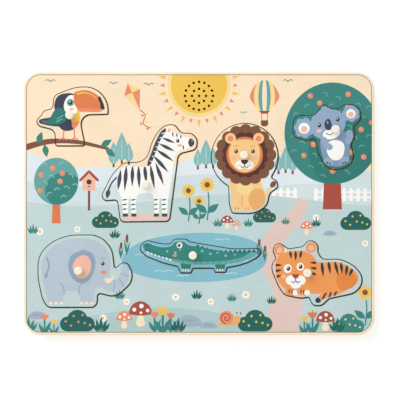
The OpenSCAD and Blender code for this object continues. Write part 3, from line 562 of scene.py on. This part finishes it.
def crocodile(art):
    for x in (-6, 23.2):
        art.paint("toucan green", curve(
            (x - 3.6, -4), (x - 3.4, -12.4, 0), (x + 3.6, -12.4, 0), (x + 4, -4)))
        for k in (-2.2, 0, 2.2):
            art.paint("cream", oval(x + k, -12.4, 0.7, 0.8))
    for k in range(13):
        x = 4 + 4 * k
        top = 8 - 0.32 * (x - 3) if x < 20 else 2.8 + 0.02 * (x - 20)
        art.paint("dark teal", [(x - 2.2, top - 1), (x + 2.2, top - 1.2), (x + 0.4, top + 1.9)])
    body = art.paint("crocodile", curve(
        (-42.4, 8.4), (-41, 4.8), (-35, 1.2), (-24, -2.6), (-12, -6.4), (0, -8), (17, -8), (30, -7.4),
        (42, -5), (52, -1), (56.4, 2.6, 0), (48, 2.8), (34, 2.4), (18, 4.8), (2, 7.6), (-4.4, 8.8),
        (-7.2, 11.2), (-11.4, 11.8), (-15.6, 10.8), (-18.6, 7.8), (-26, 6.8), (-33, 8.2), (-38.6, 10.4)))
    art.paint("mid teal", curve(
        (-44, 3.5), (-34, 2), (-22, -1.8), (-10, -4.4), (6, -5.4), (24, -5), (40, -2.4), (54, 2), (52, -12),
        (-44, -14)), inside=body)
    for k in range(11):
        art.paint("crocodile", stroke(0.5, (-8 + 5.2 * k, -4), (-8.6 + 5.2 * k, -9)), inside=body)
    for k in range(7):
        x = -38.5 + 3.2 * k
        y = 3.4 - 0.34 * (x + 38.5)
        art.paint("white", [(x - 1.2, y + 0.4), (x + 1.2, y - 0.4), (x + 0.2, y - 2)])
    art.paint("dark teal", stroke(0.8, (-41, 4.4), (-34, 2), (-26, -0.8), (-17, -2.8)))
    for x, y, r in (
        (-22, 3.4, 1), (-15, 2.2, 1.2), (-11, 5, 0.9), (8, 3.6, 1.2), (15, 1.2, 1.1), (21, 2.2, 0.9),
        (28, -0.4, 1.1), (36, 0.6, 0.8)
    ):
        art.paint("light teal", oval(x, y, r), inside=body)
    art.paint("dark teal", oval(-39.2, 8.2, 0.9, 0.7))
    art.paint("white", oval(-11.4, 8.6, 2.5))
    eye(art, -11.8, 8.6, 1.4)
    art.paint("coral", oval(-15.4, -0.2, 1.9, 1.1))


def tiger(art):
    tail = art.paint("tiger", stroke(5, (34, -12), (24, -17), (14, -20), (9.4, -23.6), tip=4.6))
    art.paint("black", oval(8.4, -24.6, 3.6), inside=tail)
    band = block(-3.4, -0.8, 3.4, 0.8)
    for x, y, turn in ((15, -19.6, 62), (20, -18.4, 70), (25, -16.6, 62)):
        art.paint("black", placed(band, x, y, turn), inside=tail)
    body = art.paint("tiger", curve(
        (-6, -15), (6, -18), (20, -16.6), (36, -14), (43, -8), (43.8, -2.6), (38, 4), (27, 9), (14, 8.8),
        (0, 8)))
    art.paint("tiger shade", curve(
        (28, -14), (25, -6), (29, 1), (37, 1.6), (42, -3), (43.4, -9), (38, -14)), inside=body)
    for x, y, length, turn in (
        (12.5, 11, 15, -84), (18, 11.4, 13, -80), (23.5, 11, 14, -76), (29, 10, 11, -84),
        (34.5, 8, 11, -96), (39.5, 5, 9, -112)
    ):
        art.paint("black", leaf(x, y, length, 2.7, turn), inside=body)
    for x, y in ((-23.4, 19.4), (3.6, 21.6)):
        art.paint("tiger", oval(x, y, 4.5))
        art.paint("blush", oval(x, y - 0.4, 2.4))
    head = art.paint("tiger", curve(
        (-26.8, 4), (-25.4, 12.6), (-18, 17.4), (-9.6, 18.8), (0, 17.8), (6.6, 12.6), (8.2, 4), (6, -6),
        (0, -13.4), (-9.6, -16.4), (-19, -13.4), (-25, -6)))
    for x, turn, length in ((-14.6, -80, 8), (-9.6, -90, 9.5), (-4.6, -100, 8)):
        art.paint("black", leaf(x, 19.6, length, 2.4, turn), inside=head)
    for y, turn in ((7.6, 0), (2.4, 8), (-3, 16)):
        art.paint("black", leaf(-28.4, y - 1, 7.4, 2.2, turn), inside=head)
        art.paint("black", leaf(9.8, y + 1, 7.4, 2.2, 180 - turn), inside=head)
    art.paint("white", oval(-13.2, -6.4, 5, 4.2), oval(-6, -6.4, 5, 4.2), oval(-9.6, -10.4, 4.4, 3.2))
    art.paint("white", oval(-16.4, 3.6, 3.4, 3.8), oval(-5.6, 5.2, 3.2, 3.4))
    eye(art, -15.8, 3.6, 1.7)
    eye(art, -5.4, 5.2, 1.7)
    art.paint("brick", curve((-12.6, -1.8), (-9.6, -1.2), (-6.6, -1.8), (-9.6, -5)))
    art.paint(
        "black", stroke(0.7, (-9.6, -4.8), (-9.6, -7)),
        stroke(0.7, (-13, -7.4), (-11.2, -8.4), (-9.6, -7), (-8, -8.4), (-6.2, -7.4)))
    art.paint("blush", oval(-20, -3, 2.2, 1.5))
    for x in (-13.4, -3.4):
        art.paint("tiger", stroke(5.8, (x - 2.4, -16), (x + 3, -17)))
        art.paint("white", oval(x + 3.6, -17, 2.4, 2.4))
        for u, v in ((-1.6, -15.6), (0.6, -16)):
            art.paint("black", placed(leaf(-2.4, 0, 4.8, 1.1, 0), x + u, v, 80))


def toucan(art):
    art.paint("coral", stroke(1.2, (-5, -11), (-6, -20)), stroke(1.2, (3.4, -10), (4, -20)))
    for x in (-6, 4):
        art.paint("coral", stroke(1.1, (x - 3, -20.6), (x, -19.4), (x + 3, -20.6)))
    art.paint("navy", curve(
        (-9, 2), (-17, -1.6), (-25.4, -3.4), (-26.6, -5.6), (-24, -7.4), (-12, -9.4), (-6, -8)))
    art.paint("slate", stroke(0.5, (-24.6, -5), (-16, -4.6)), stroke(0.5, (-23, -6.4), (-15, -6.8)))
    body = art.paint("navy", curve(
        (-13.4, 9), (-10.4, 16.4), (-3, 19), (4, 17.6), (7, 9), (8.4, 0), (7.6, -7), (2, -12.4),
        (-6, -12.6), (-11.4, -6), (-12.4, 2)))
    art.paint("mustard", curve((9, 4), (3, 4), (1, -3), (3.6, -9), (9, -8)), inside=body)
    art.paint("coral", curve((9, -6), (2.4, -6), (1.6, -9), (5, -12.6), (9, -10)), inside=body)
    art.paint("white", curve(
        (-1, 16.8), (4.2, 16.4), (6.6, 10), (6, 3.4), (2, 0.6), (-3.6, 3), (-5.2, 9.4)))
    art.paint("orange", curve(
        (3.4, 18.6), (9, 21.2), (16, 21.2), (23, 17.6), (28, 11.6), (29.8, 5.6, 0), (24, 5.4), (14, 6.2),
        (6, 6)))
    art.paint("coral", curve((6, 6, 0), (14, 6.2), (24, 5.4), (29.6, 5.2, 0), (25, 3), (15, 3), (7.4, 3.6)))
    art.paint("mustard", stroke(1.5, (6.6, 18.4), (12, 19.4), (18, 18), (23, 14.4), tip=0.6))
    art.paint("black", curve((24.4, 16.2), (28, 11.6), (29.8, 5.6, 0), (26.6, 5.5), (25.8, 10)))
    art.paint("mid teal", oval(0.4, 11, 3.1))
    eye(art, 0.4, 11, 1.7)
    art.paint("blush", oval(1.4, 5.4, 1.9, 1.3))
    art.paint("toucan green", curve(
        (-12.6, 5), (-8, 6.4), (-3, 2), (-3.4, -4), (-10, -7.6), (-20, -6.4), (-17, -2)))
    for a, b in (((-6, 0), (-11, -3)), ((-6.6, -3), (-12, -5.4))):
        art.paint("light teal", stroke(0.7, a, b))


ANIMALS = {
    "toucan": toucan,
    "zebra": zebra,
    "lion": lion,
    "koala": koala,
    "elephant": elephant,
    "crocodile": crocodile,
    "tiger": tiger,
}


# Materials


def add(tree, kind, inputs=None, **settings):
    """Adds a shader node with its settings; an input is a value or another node's socket."""
    made = tree.nodes.new("ShaderNode" + kind)
    for name, value in settings.items():
        setattr(made, name, value)
    for name, value in (inputs or {}).items():
        if isinstance(value, bpy.types.NodeSocket):
            tree.links.new(value, made.inputs[name])
        else:
            made.inputs[name].default_value = value
    return made


def material(name, inputs=None):
    """A new material with its shader."""
    made = bpy.data.materials.new(name)
    made.use_nodes = True
    made.node_tree.nodes.clear()
    shader = add(made.node_tree, "BsdfPrincipled", inputs)
    add(made.node_tree, "OutputMaterial", {"Surface": shader.outputs[0]})
    return made, made.node_tree, shader


def per_mm(size):
    """The scale of a noise whose spots are this many millimetres across."""
    return 1 / (size * MM)


def printed_plywood():
    """Flat matt inks on sanded poplar: the grain below shows as faint streaks and a slight unevenness."""
    made, tree, shader = material("matt ink on poplar plywood", {"Specular IOR Level": 0.3})
    ink = add(tree, "Attribute", attribute_name="ink")
    place = add(tree, "TexCoord")
    lie = add(tree, "Mapping", {"Vector": place.outputs["Object"], "Scale": (0.06, 1, 1)})
    grain = add(tree, "TexNoise", {"Vector": lie.outputs[0], "Scale": per_mm(1.2), "Detail": 3})
    cloud = add(tree, "TexNoise", {"Vector": place.outputs["Object"], "Scale": per_mm(26), "Detail": 4})
    streak = add(tree, "MapRange", {
        "Value": grain.outputs[0], "From Min": 0.3, "From Max": 0.7, "To Min": 0.965, "To Max": 1.015})
    patch = add(tree, "MapRange", {
        "Value": cloud.outputs[0], "From Min": 0.3, "From Max": 0.7, "To Min": 0.965, "To Max": 1.025})
    both = add(tree, "Math", {0: streak.outputs[0], 1: patch.outputs[0]}, operation="MULTIPLY")
    tone = add(tree, "VectorMath", {0: ink.outputs["Color"], "Scale": both.outputs[0]}, operation="SCALE")
    tree.links.new(tone.outputs[0], shader.inputs["Base Color"])
    gloss = add(tree, "MapRange", {"Value": grain.outputs[0], "To Min": 0.5, "To Max": 0.68})
    tree.links.new(gloss.outputs[0], shader.inputs["Roughness"])
    relief = add(tree, "Bump", {"Height": grain.outputs[0], "Strength": 0.12, "Distance": 0.05 * MM})
    tree.links.new(relief.outputs[0], shader.inputs["Normal"])
    return made


def bare_plywood(name, pale_ply, dark_ply, stain):
    """Poplar plywood with a pale veneer of soft grain, and edges that show the plies in their colours."""
    made, tree, shader = material(name, {"Specular IOR Level": 0.3})
    place = add(tree, "TexCoord")
    lie = add(tree, "Mapping", {"Vector": place.outputs["Object"], "Scale": (0.05, 1, 1)})
    grain = add(tree, "TexNoise", {
        "Vector": lie.outputs[0], "Scale": per_mm(2.2), "Detail": 6, "Roughness": 0.65})
    figure = add(tree, "TexNoise", {
        "Vector": lie.outputs[0], "Scale": per_mm(14), "Detail": 3, "Distortion": 0.8})
    share = add(tree, "MapRange", {"Value": grain.outputs[0], "From Min": 0.35, "From Max": 0.7})
    wide = add(tree, "MapRange", {"Value": figure.outputs[0], "From Min": 0.35, "From Max": 0.7})
    veneer = add(
        tree, "MixRGB", {"Fac": share.outputs[0], "Color1": linear("#E8D3AB"), "Color2": linear("#D3B585")})
    face = add(
        tree, "MixRGB", {"Fac": wide.outputs[0], "Color1": veneer.outputs[0], "Color2": linear("#DDBF8F")})
    # Plies are 1 mm thick, and every second one lies across and is darker
    apart = add(tree, "SeparateXYZ", {0: place.outputs["Object"]})
    level = add(tree, "Math", {0: apart.outputs["Z"], 1: 2 * MM}, operation="MODULO")
    cross = add(tree, "Math", {0: level.outputs[0], 1: MM}, operation="GREATER_THAN")
    ply = add(
        tree, "MixRGB", {"Fac": cross.outputs[0], "Color1": linear(pale_ply), "Color2": linear(dark_ply)})
    soot = add(tree, "TexNoise", {"Vector": place.outputs["Object"], "Scale": per_mm(1.5), "Detail": 4})
    edge = add(tree, "MixRGB", {"Fac": soot.outputs[0], "Color1": ply.outputs[0], "Color2": linear(stain)})
    side = add(tree, "SeparateXYZ", {0: place.outputs["Normal"]})
    up = add(tree, "Math", {0: side.outputs["Z"]}, operation="ABSOLUTE")
    flat = add(tree, "Math", {0: up.outputs[0], 1: 0.7}, operation="GREATER_THAN")
    whole = add(
        tree, "MixRGB", {"Fac": flat.outputs[0], "Color1": edge.outputs[0], "Color2": face.outputs[0]})
    tree.links.new(whole.outputs[0], shader.inputs["Base Color"])
    gloss = add(tree, "MapRange", {"Value": grain.outputs[0], "To Min": 0.55, "To Max": 0.8})
    tree.links.new(gloss.outputs[0], shader.inputs["Roughness"])
    relief = add(tree, "Bump", {"Height": grain.outputs[0], "Strength": 0.25, "Distance": 0.08 * MM})
    tree.links.new(relief.outputs[0], shader.inputs["Normal"])
    return made


def solid_wood(name, pale, dark, stretch, line, pore=0.3, end=None):
    """Sanded, clear-coated solid wood: straight grain and fine dark pores; end is the end grain's colour."""
    made, tree, shader = material(name, {"Specular IOR Level": 0.4})
    place = add(tree, "TexCoord")
    lie = add(tree, "Mapping", {"Vector": place.outputs["Object"], "Scale": stretch})
    grain = add(tree, "TexNoise", {
        "Vector": lie.outputs[0], "Scale": per_mm(line), "Detail": 5, "Roughness": 0.6})
    # Pores are drawn wider than they are, so that they show
    pores = add(tree, "TexNoise", {"Vector": lie.outputs[0], "Scale": per_mm(0.35 * line), "Detail": 2})
    share = add(tree, "MapRange", {"Value": grain.outputs[0], "From Min": 0.35, "From Max": 0.68})
    wood = add(tree, "MixRGB", {"Fac": share.outputs[0], "Color1": linear(pale), "Color2": linear(dark)})
    fleck = add(tree, "MapRange", {
        "Value": pores.outputs[0], "From Min": 0.62, "From Max": 0.75, "To Max": pore})
    whole = add(
        tree, "MixRGB", {"Fac": fleck.outputs[0], "Color1": wood.outputs[0], "Color2": linear("#B48A5A")})
    if end:
        side = add(tree, "SeparateXYZ", {0: place.outputs["Normal"]})
        cut = add(tree, "MapRange", {
            "Value": side.outputs["Z"], "From Min": 0.9, "From Max": 0.995, "To Max": 0.75})
        whole = add(
            tree, "MixRGB", {"Fac": cut.outputs[0], "Color1": whole.outputs[0], "Color2": linear(end)})
    tree.links.new(whole.outputs[0], shader.inputs["Base Color"])
    gloss = add(tree, "MapRange", {"Value": grain.outputs[0], "To Min": 0.42, "To Max": 0.6})
    tree.links.new(gloss.outputs[0], shader.inputs["Roughness"])
    relief = add(tree, "Bump", {"Height": grain.outputs[0], "Strength": 0.2, "Distance": 0.06 * MM})
    tree.links.new(relief.outputs[0], shader.inputs["Normal"])
    return made


def moulded(name, colour, rough, grit):
    """Moulded plastic or rubber: an even colour with a fine spark-eroded texture."""
    made, tree, shader = material(name, {"IOR": 1.49})
    place = add(tree, "TexCoord")
    # The real grit is finer than this and wouldn't show
    skin = add(tree, "TexNoise", {"Vector": place.outputs["Object"], "Scale": per_mm(grit), "Detail": 2})
    cloud = add(tree, "TexNoise", {"Vector": place.outputs["Object"], "Scale": per_mm(9), "Detail": 2})
    share = add(tree, "MapRange", {
        "Value": cloud.outputs[0], "From Min": 0.3, "From Max": 0.7, "To Min": 0.92, "To Max": 1.06})
    base = add(tree, "VectorMath", {0: linear(colour)[:3], "Scale": share.outputs[0]}, operation="SCALE")
    tree.links.new(base.outputs[0], shader.inputs["Base Color"])
    gloss = add(
        tree, "MapRange", {"Value": cloud.outputs[0], "To Min": rough - 0.06, "To Max": rough + 0.06})
    tree.links.new(gloss.outputs[0], shader.inputs["Roughness"])
    relief = add(tree, "Bump", {"Height": skin.outputs[0], "Strength": 0.2, "Distance": 0.04 * MM})
    tree.links.new(relief.outputs[0], shader.inputs["Normal"])
    return made


def plated(name, colour, rough):
    """Plated or turned metal: bright, with fine wear marks in the shine."""
    made, tree, shader = material(name, {"Metallic": 1.0, "Base Color": linear(colour)})
    place = add(tree, "TexCoord")
    marks = add(tree, "TexNoise", {"Vector": place.outputs["Object"], "Scale": per_mm(0.8), "Detail": 5})
    gloss = add(
        tree, "MapRange", {"Value": marks.outputs[0], "To Min": rough - 0.1, "To Max": rough + 0.12})
    tree.links.new(gloss.outputs[0], shader.inputs["Roughness"])
    return made


def circuit_green():
    """Glass-fibre circuit board: green solder mask over a faint weave, drawn coarser than it is."""
    made, tree, shader = material("green solder mask", {"IOR": 1.5, "Roughness": 0.35})
    place = add(tree, "TexCoord")
    dark, pale = linear("#27603F"), linear("#2C6A48")
    weave = add(tree, "TexChecker", {
        "Vector": place.outputs["Object"], "Scale": per_mm(0.8), "Color1": pale, "Color2": dark})
    tree.links.new(weave.outputs[0], shader.inputs["Base Color"])
    return made


# Sheets


def wound(outline):
    """The outline with its inside on the left."""
    area = sum(a[0] * b[1] - b[0] * a[1] for a, b in zip(outline, outline[1:] + outline[:1]))
    return outline if area > 0 else outline[::-1]


def rim_moved(outline, far):
    """The outline with each point moved out by a small distance, or in if it is negative."""
    moved = []
    for i, spot in enumerate(outline):
        before = (Vector(spot) - Vector(outline[i - 1])).normalized()
        after = (Vector(outline[(i + 1) % len(outline)]) - Vector(spot)).normalized()
        out = Vector((before.y + after.y, -before.x - after.x))
        moved.append(tuple(Vector(spot) + out * far / max(0.5, 1 + before.dot(after))))
    return moved


def top_outlines(node):
    """The outlines of a CAD sheet's top face in millimetres, the outer one first."""
    bm = bmesh.new()
    bm.from_mesh(nodes[node].data)
    bmesh.ops.remove_doubles(bm, verts=bm.verts, dist=0.001 * MM)
    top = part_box(node)[1].z - 0.01 * MM
    nexts = {}
    for edge in bm.edges:
        ups = [f for f in edge.link_faces if f.normal.z > 0.9]
        if len(ups) == 1 and min(v.co.z for v in edge.verts) > top:
            for a, b in (edge.verts, reversed(edge.verts)):
                nexts.setdefault(a, []).append(b)
    outlines = []
    while nexts:
        loop = [next(iter(nexts))]
        while loop[-1] in nexts:
            ahead = [v for v in nexts.pop(loop[-1]) if v in nexts]
            if ahead:
                loop.append(ahead[0])
        outlines.append(wound([(v.co.x / MM, v.co.y / MM) for v in loop]))
    bm.free()
    return sorted(outlines, key=lambda line: min(x for x, y in line))


def ink_patches(shapes, outer, rim, holes):
    """Cuts a sheet along all its shapes. Returns the points, and the corners and ink of each patch."""
    outlines = [wound(outline) for ink, outline, inside in shapes]
    sheet = len(outlines)
    outlines += [outer, rim] + holes + [rim_moved(hole, SCORCH_AND_SHADE) for hole in holes]
    cuts = set(range(sheet + 2, sheet + 2 + len(holes)))
    scorched_and_shaded = set(range(sheet + 2 + len(holes), len(outlines)))
    points, faces = [], []
    for outline in outlines:
        faces.append(range(len(points), len(points) + len(outline)))
        points += outline
    # Type 1 keeps what lies in any shape; under lists the shapes that cover each patch
    spots, _, cells, _, _, under = delaunay_2d_cdt([Vector(p) for p in points], [], faces, 1, 1e-4)
    patches = []
    for corners, shapes_here in zip(cells, under):
        covers = set(shapes_here)
        if sheet not in covers or covers & cuts:
            continue
        # Patches in the thin ring at each cut take the dark ink, which is laser scorch and painted shade
        # along the cut edge
        ink = "scorch and painted shade"
        if sheet + 1 in covers and not covers & scorched_and_shaded:
            seen = [k for k in covers if k < sheet and shapes[k][2] in covers | {None}]
            ink = shapes[max(seen)][0]
        patches.append((corners, ink))
    return spots, patches


def printed_sheet(name, node, body, shapes, is_panel):
    """A printed sheet in place of a CAD one: each patch of ink is a face that holds its colour.

    The panel's outer edge is sawn, and all other edges are laser-cut.
    """
    outer, *holes = top_outlines(node)
    low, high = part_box(node)
    if is_panel:
        points, patches = ink_patches(shapes, outer, outer, holes)
    else:
        points, patches = ink_patches(shapes, outer, rim_moved(outer, -SCORCH_AND_SHADE), [])
    bm = bmesh.new()
    tint = bm.loops.layers.float_color.new("ink")
    spots = [bm.verts.new((p.x * MM, p.y * MM, high.z)) for p in points]
    for corners, ink in patches:
        for loop in bm.faces.new([spots[i] for i in corners]).loops:
            loop[tint] = linear(INKS[ink])
    bmesh.ops.delete(bm, geom=[v for v in bm.verts if not v.link_faces], context="VERTS")
    bmesh.ops.solidify(bm, geom=bm.faces[:], thickness=high.z - low.z)
    bm.normal_update()
    # The cut-outs lie further in than this
    sawn_rim = 4 * MM
    for face in bm.faces:
        spot = face.calc_center_median()
        from_rim = min(spot.x - low.x, high.x - spot.x, spot.y - low.y, high.y - spot.y)
        if face.normal.z > 0.9:
            face.material_index = 0
        elif is_panel and from_rim < sawn_rim:
            face.material_index = 1
        else:
            face.material_index = 2
    mesh = bpy.data.meshes.new(name)
    bm.to_mesh(mesh)
    bm.free()
    for finish in (PRINT, SAWN, LASER_CUT):
        mesh.materials.append(finish)
    made = bpy.data.objects.new(name, mesh)
    bpy.context.collection.objects.link(made)
    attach(made, body)
    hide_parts(node)


PRINT = printed_plywood()
LASER_CUT = bare_plywood("laser-cut poplar plywood", "#5E3D22", "#3A2414", "#46301C")
SAWN = bare_plywood("sawn poplar plywood", "#F0DDB8", "#DFC394", "#E6CEA2")
RAIL_ACROSS = solid_wood("clear-coated beech rail, grain across", "#FDF0D8", "#F5DFBC", (0.04, 1, 1), 1.4)
RAIL_UP = solid_wood("clear-coated beech rail, grain up", "#FDF0D8", "#F5DFBC", (1, 0.04, 1), 1.4)
PEG_WOOD = solid_wood("turned birch peg", "#FFF9EF", "#FAEFDD", (1, 1, 0.08), 0.6, 0.06, "#F3E8D6")
BLOCK_WOOD = solid_wood("sawn pine block", "#E6CB9C", "#D2AE78", (1, 1, 0.06), 1.2)
BLACK_PAINT = moulded("black-painted steel", "#232427", 0.4, 0.6)
DARK_ABS = moulded("charcoal ABS", "#35383D", 0.5, 0.3)
PALE_ABS = moulded("ivory ABS", "#E6E3DA", 0.42, 0.3)
ZINC = plated("zinc-plated steel", "#C9CCD0", 0.32)
BRASS = plated("turned brass", "#D9B25C", 0.3)
NICKEL = plated("nickel-plated spring steel", "#D6D3CC", 0.25)
MAGNET = plated("zinc-plated magnet cup", "#9A9DA2", 0.4)
CIRCUIT = circuit_green()
RESIN = moulded("black epoxy resin", "#1E1F22", 0.3, 0.6)
BLUE_SLEEVE = moulded("blue capacitor sleeve", "#27508A", 0.35, 0.5)
CERAMIC = moulded("glazed ceramic body", "#E0D2B0", 0.4, 0.5)
SENSOR = moulded("amber sensor epoxy", "#B5482F", 0.22, 0.6)
CELL = moulded("shrink-wrapped cell sleeve", "#3D7A52", 0.3, 0.8)
PAPER = moulded("pressed cone paper", "#3A3734", 0.85, 0.4)
FOAM = moulded("closed-cell foam", "#2B2B2E", 0.95, 0.5)
PALE_LEAD = moulded("ivory PVC insulation", "#D7D2C8", 0.45, 0.4)
RED_LEAD = moulded("red PVC insulation", "#B0392E", 0.42, 0.4)
BLACK_LEAD = moulded("black PVC insulation", "#2B2B2E", 0.42, 0.4)

FINISHES = {
    "floor_board": SAWN, "back_panel": SAWN, "frame_top": RAIL_ACROSS, "frame_bottom": RAIL_ACROSS,
    "frame_left": RAIL_UP, "frame_right": RAIL_UP, "screw_blocks": BLOCK_WOOD, "support_posts": BLOCK_WOOD,
    "back_screws": ZINC, "light_sensors": SENSOR, "speaker_basket": BLACK_PAINT, "speaker_cone": PAPER,
    "speaker_magnet": MAGNET, "speaker_gasket": FOAM, "circuit_board": CIRCUIT, "board_spacers": PALE_ABS,
    "board_screws": ZINC, "sound_chip": RESIN, "amplifier_chip": RESIN, "capacitor": BLUE_SLEEVE,
    "resistors": CERAMIC, "battery_box": DARK_ABS, "battery_box_screws": ZINC, "upper_battery": CELL,
    "lower_battery": CELL, "bridge_contact": NICKEL, "upper_contact": NICKEL, "lower_contact": NICKEL,
    "screw_insert": BRASS, "battery_cover": DARK_ABS, "cover_screw": ZINC, "switch_body": DARK_ABS,
    "switch_slider": PALE_ABS, "sensor_leads": PALE_LEAD, "speaker_leads": RED_LEAD,
    "battery_leads": RED_LEAD, "switch_leads": BLACK_LEAD}
for animal in ANIMALS:
    FINISHES[animal + "_peg"] = PEG_WOOD
for node, finish in FINISHES.items():
    nodes[node].data.materials.clear()
    nodes[node].data.materials.append(finish)

meadow = landscape()
printed_sheet("front_panel_printed", "front_panel", "board", meadow, True)
for animal, draw in ANIMALS.items():
    low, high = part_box(animal + "_peg")
    picture = Picture(meadow, ((low.x + high.x) / 2 / MM, (low.y + high.y) / 2 / MM))
    draw(picture)
    printed_sheet(animal + "_printed", animal + "_piece", animal, picture.shapes, False)


# Studio


def studio():
    """A white floor, even light from all round, a soft lamp from the upper left and a camera overhead."""
    bm = bmesh.new()
    bmesh.ops.create_grid(bm, x_segments=1, y_segments=1, size=3)
    bmesh.ops.translate(bm, verts=bm.verts, vec=(1, 0, -0.2 * MM))
    mesh = bpy.data.meshes.new("floor")
    bm.to_mesh(mesh)
    bm.free()
    floor = bpy.data.objects.new("floor", mesh)
    bpy.context.collection.objects.link(floor)
    # White paper, open from below so that the back can be seen and lit
    paper, tree, shader = material("white paper floor", {
        "Base Color": linear("#FFFFFF"), "Roughness": 0.9, "Specular IOR Level": 0.1})
    path = add(tree, "LightPath")
    side = add(tree, "NewGeometry")
    clear = add(tree, "BsdfTransparent")
    glow = add(tree, "Emission", {"Strength": 0.8})
    lift = add(tree, "Emission", {"Strength": 0.24})
    white = add(tree, "AddShader", {0: shader.outputs[0], 1: lift.outputs[0]})
    seen = add(tree, "MixShader", {0: side.outputs["Backfacing"], 1: white.outputs[0], 2: clear.outputs[0]})
    lit = add(tree, "MixShader", {0: path.outputs["Is Camera Ray"], 1: glow.outputs[0], 2: seen.outputs[0]})
    tree.links.new(lit.outputs[0], tree.nodes["Material Output"].inputs["Surface"])
    paper.cycles.emission_sampling = "NONE"
    mesh.materials.append(paper)

    world = bpy.data.worlds.new("studio")
    bpy.context.scene.world = world
    world.use_nodes = True
    tree = world.node_tree
    tree.nodes.clear()
    path = add(tree, "LightPath")
    shown = add(
        tree, "Math", {0: path.outputs["Is Camera Ray"], 1: path.outputs["Is Glossy Ray"]},
        operation="MAXIMUM")
    level = add(tree, "MapRange", {"Value": shown.outputs[0], "To Min": 0.72, "To Max": 1.0})
    sky = add(tree, "Background", {"Color": linear("#FFFFFF"), "Strength": level.outputs[0]})
    add(tree, "OutputWorld", {"Surface": sky.outputs[0]})

    lamp = bpy.data.lights.new("softbox", "AREA")
    lamp.shape = "DISK"
    lamp.size = 1.4
    lamp.energy = 13
    held = bpy.data.objects.new("softbox", lamp)
    held.location = (-0.7, 0.8, 1.5)
    held.rotation_euler = (-held.location).to_track_quat("-Z", "Y").to_euler()
    bpy.context.collection.objects.link(held)

    lens = bpy.data.cameras.new("camera")
    lens.sensor_width = 36
    # The camera stands far above the board's face, and its picture spans this width there
    far = 1.5
    span = 0.3419
    lens.lens = lens.sensor_width * far / span
    camera = bpy.data.objects.new("camera", lens)
    camera.location = (0.85 * MM, 3.0 * MM, board_top + far)
    bpy.context.collection.objects.link(camera)
    bpy.context.scene.camera = camera
    bpy.context.scene.view_settings.view_transform = "Standard"


studio()
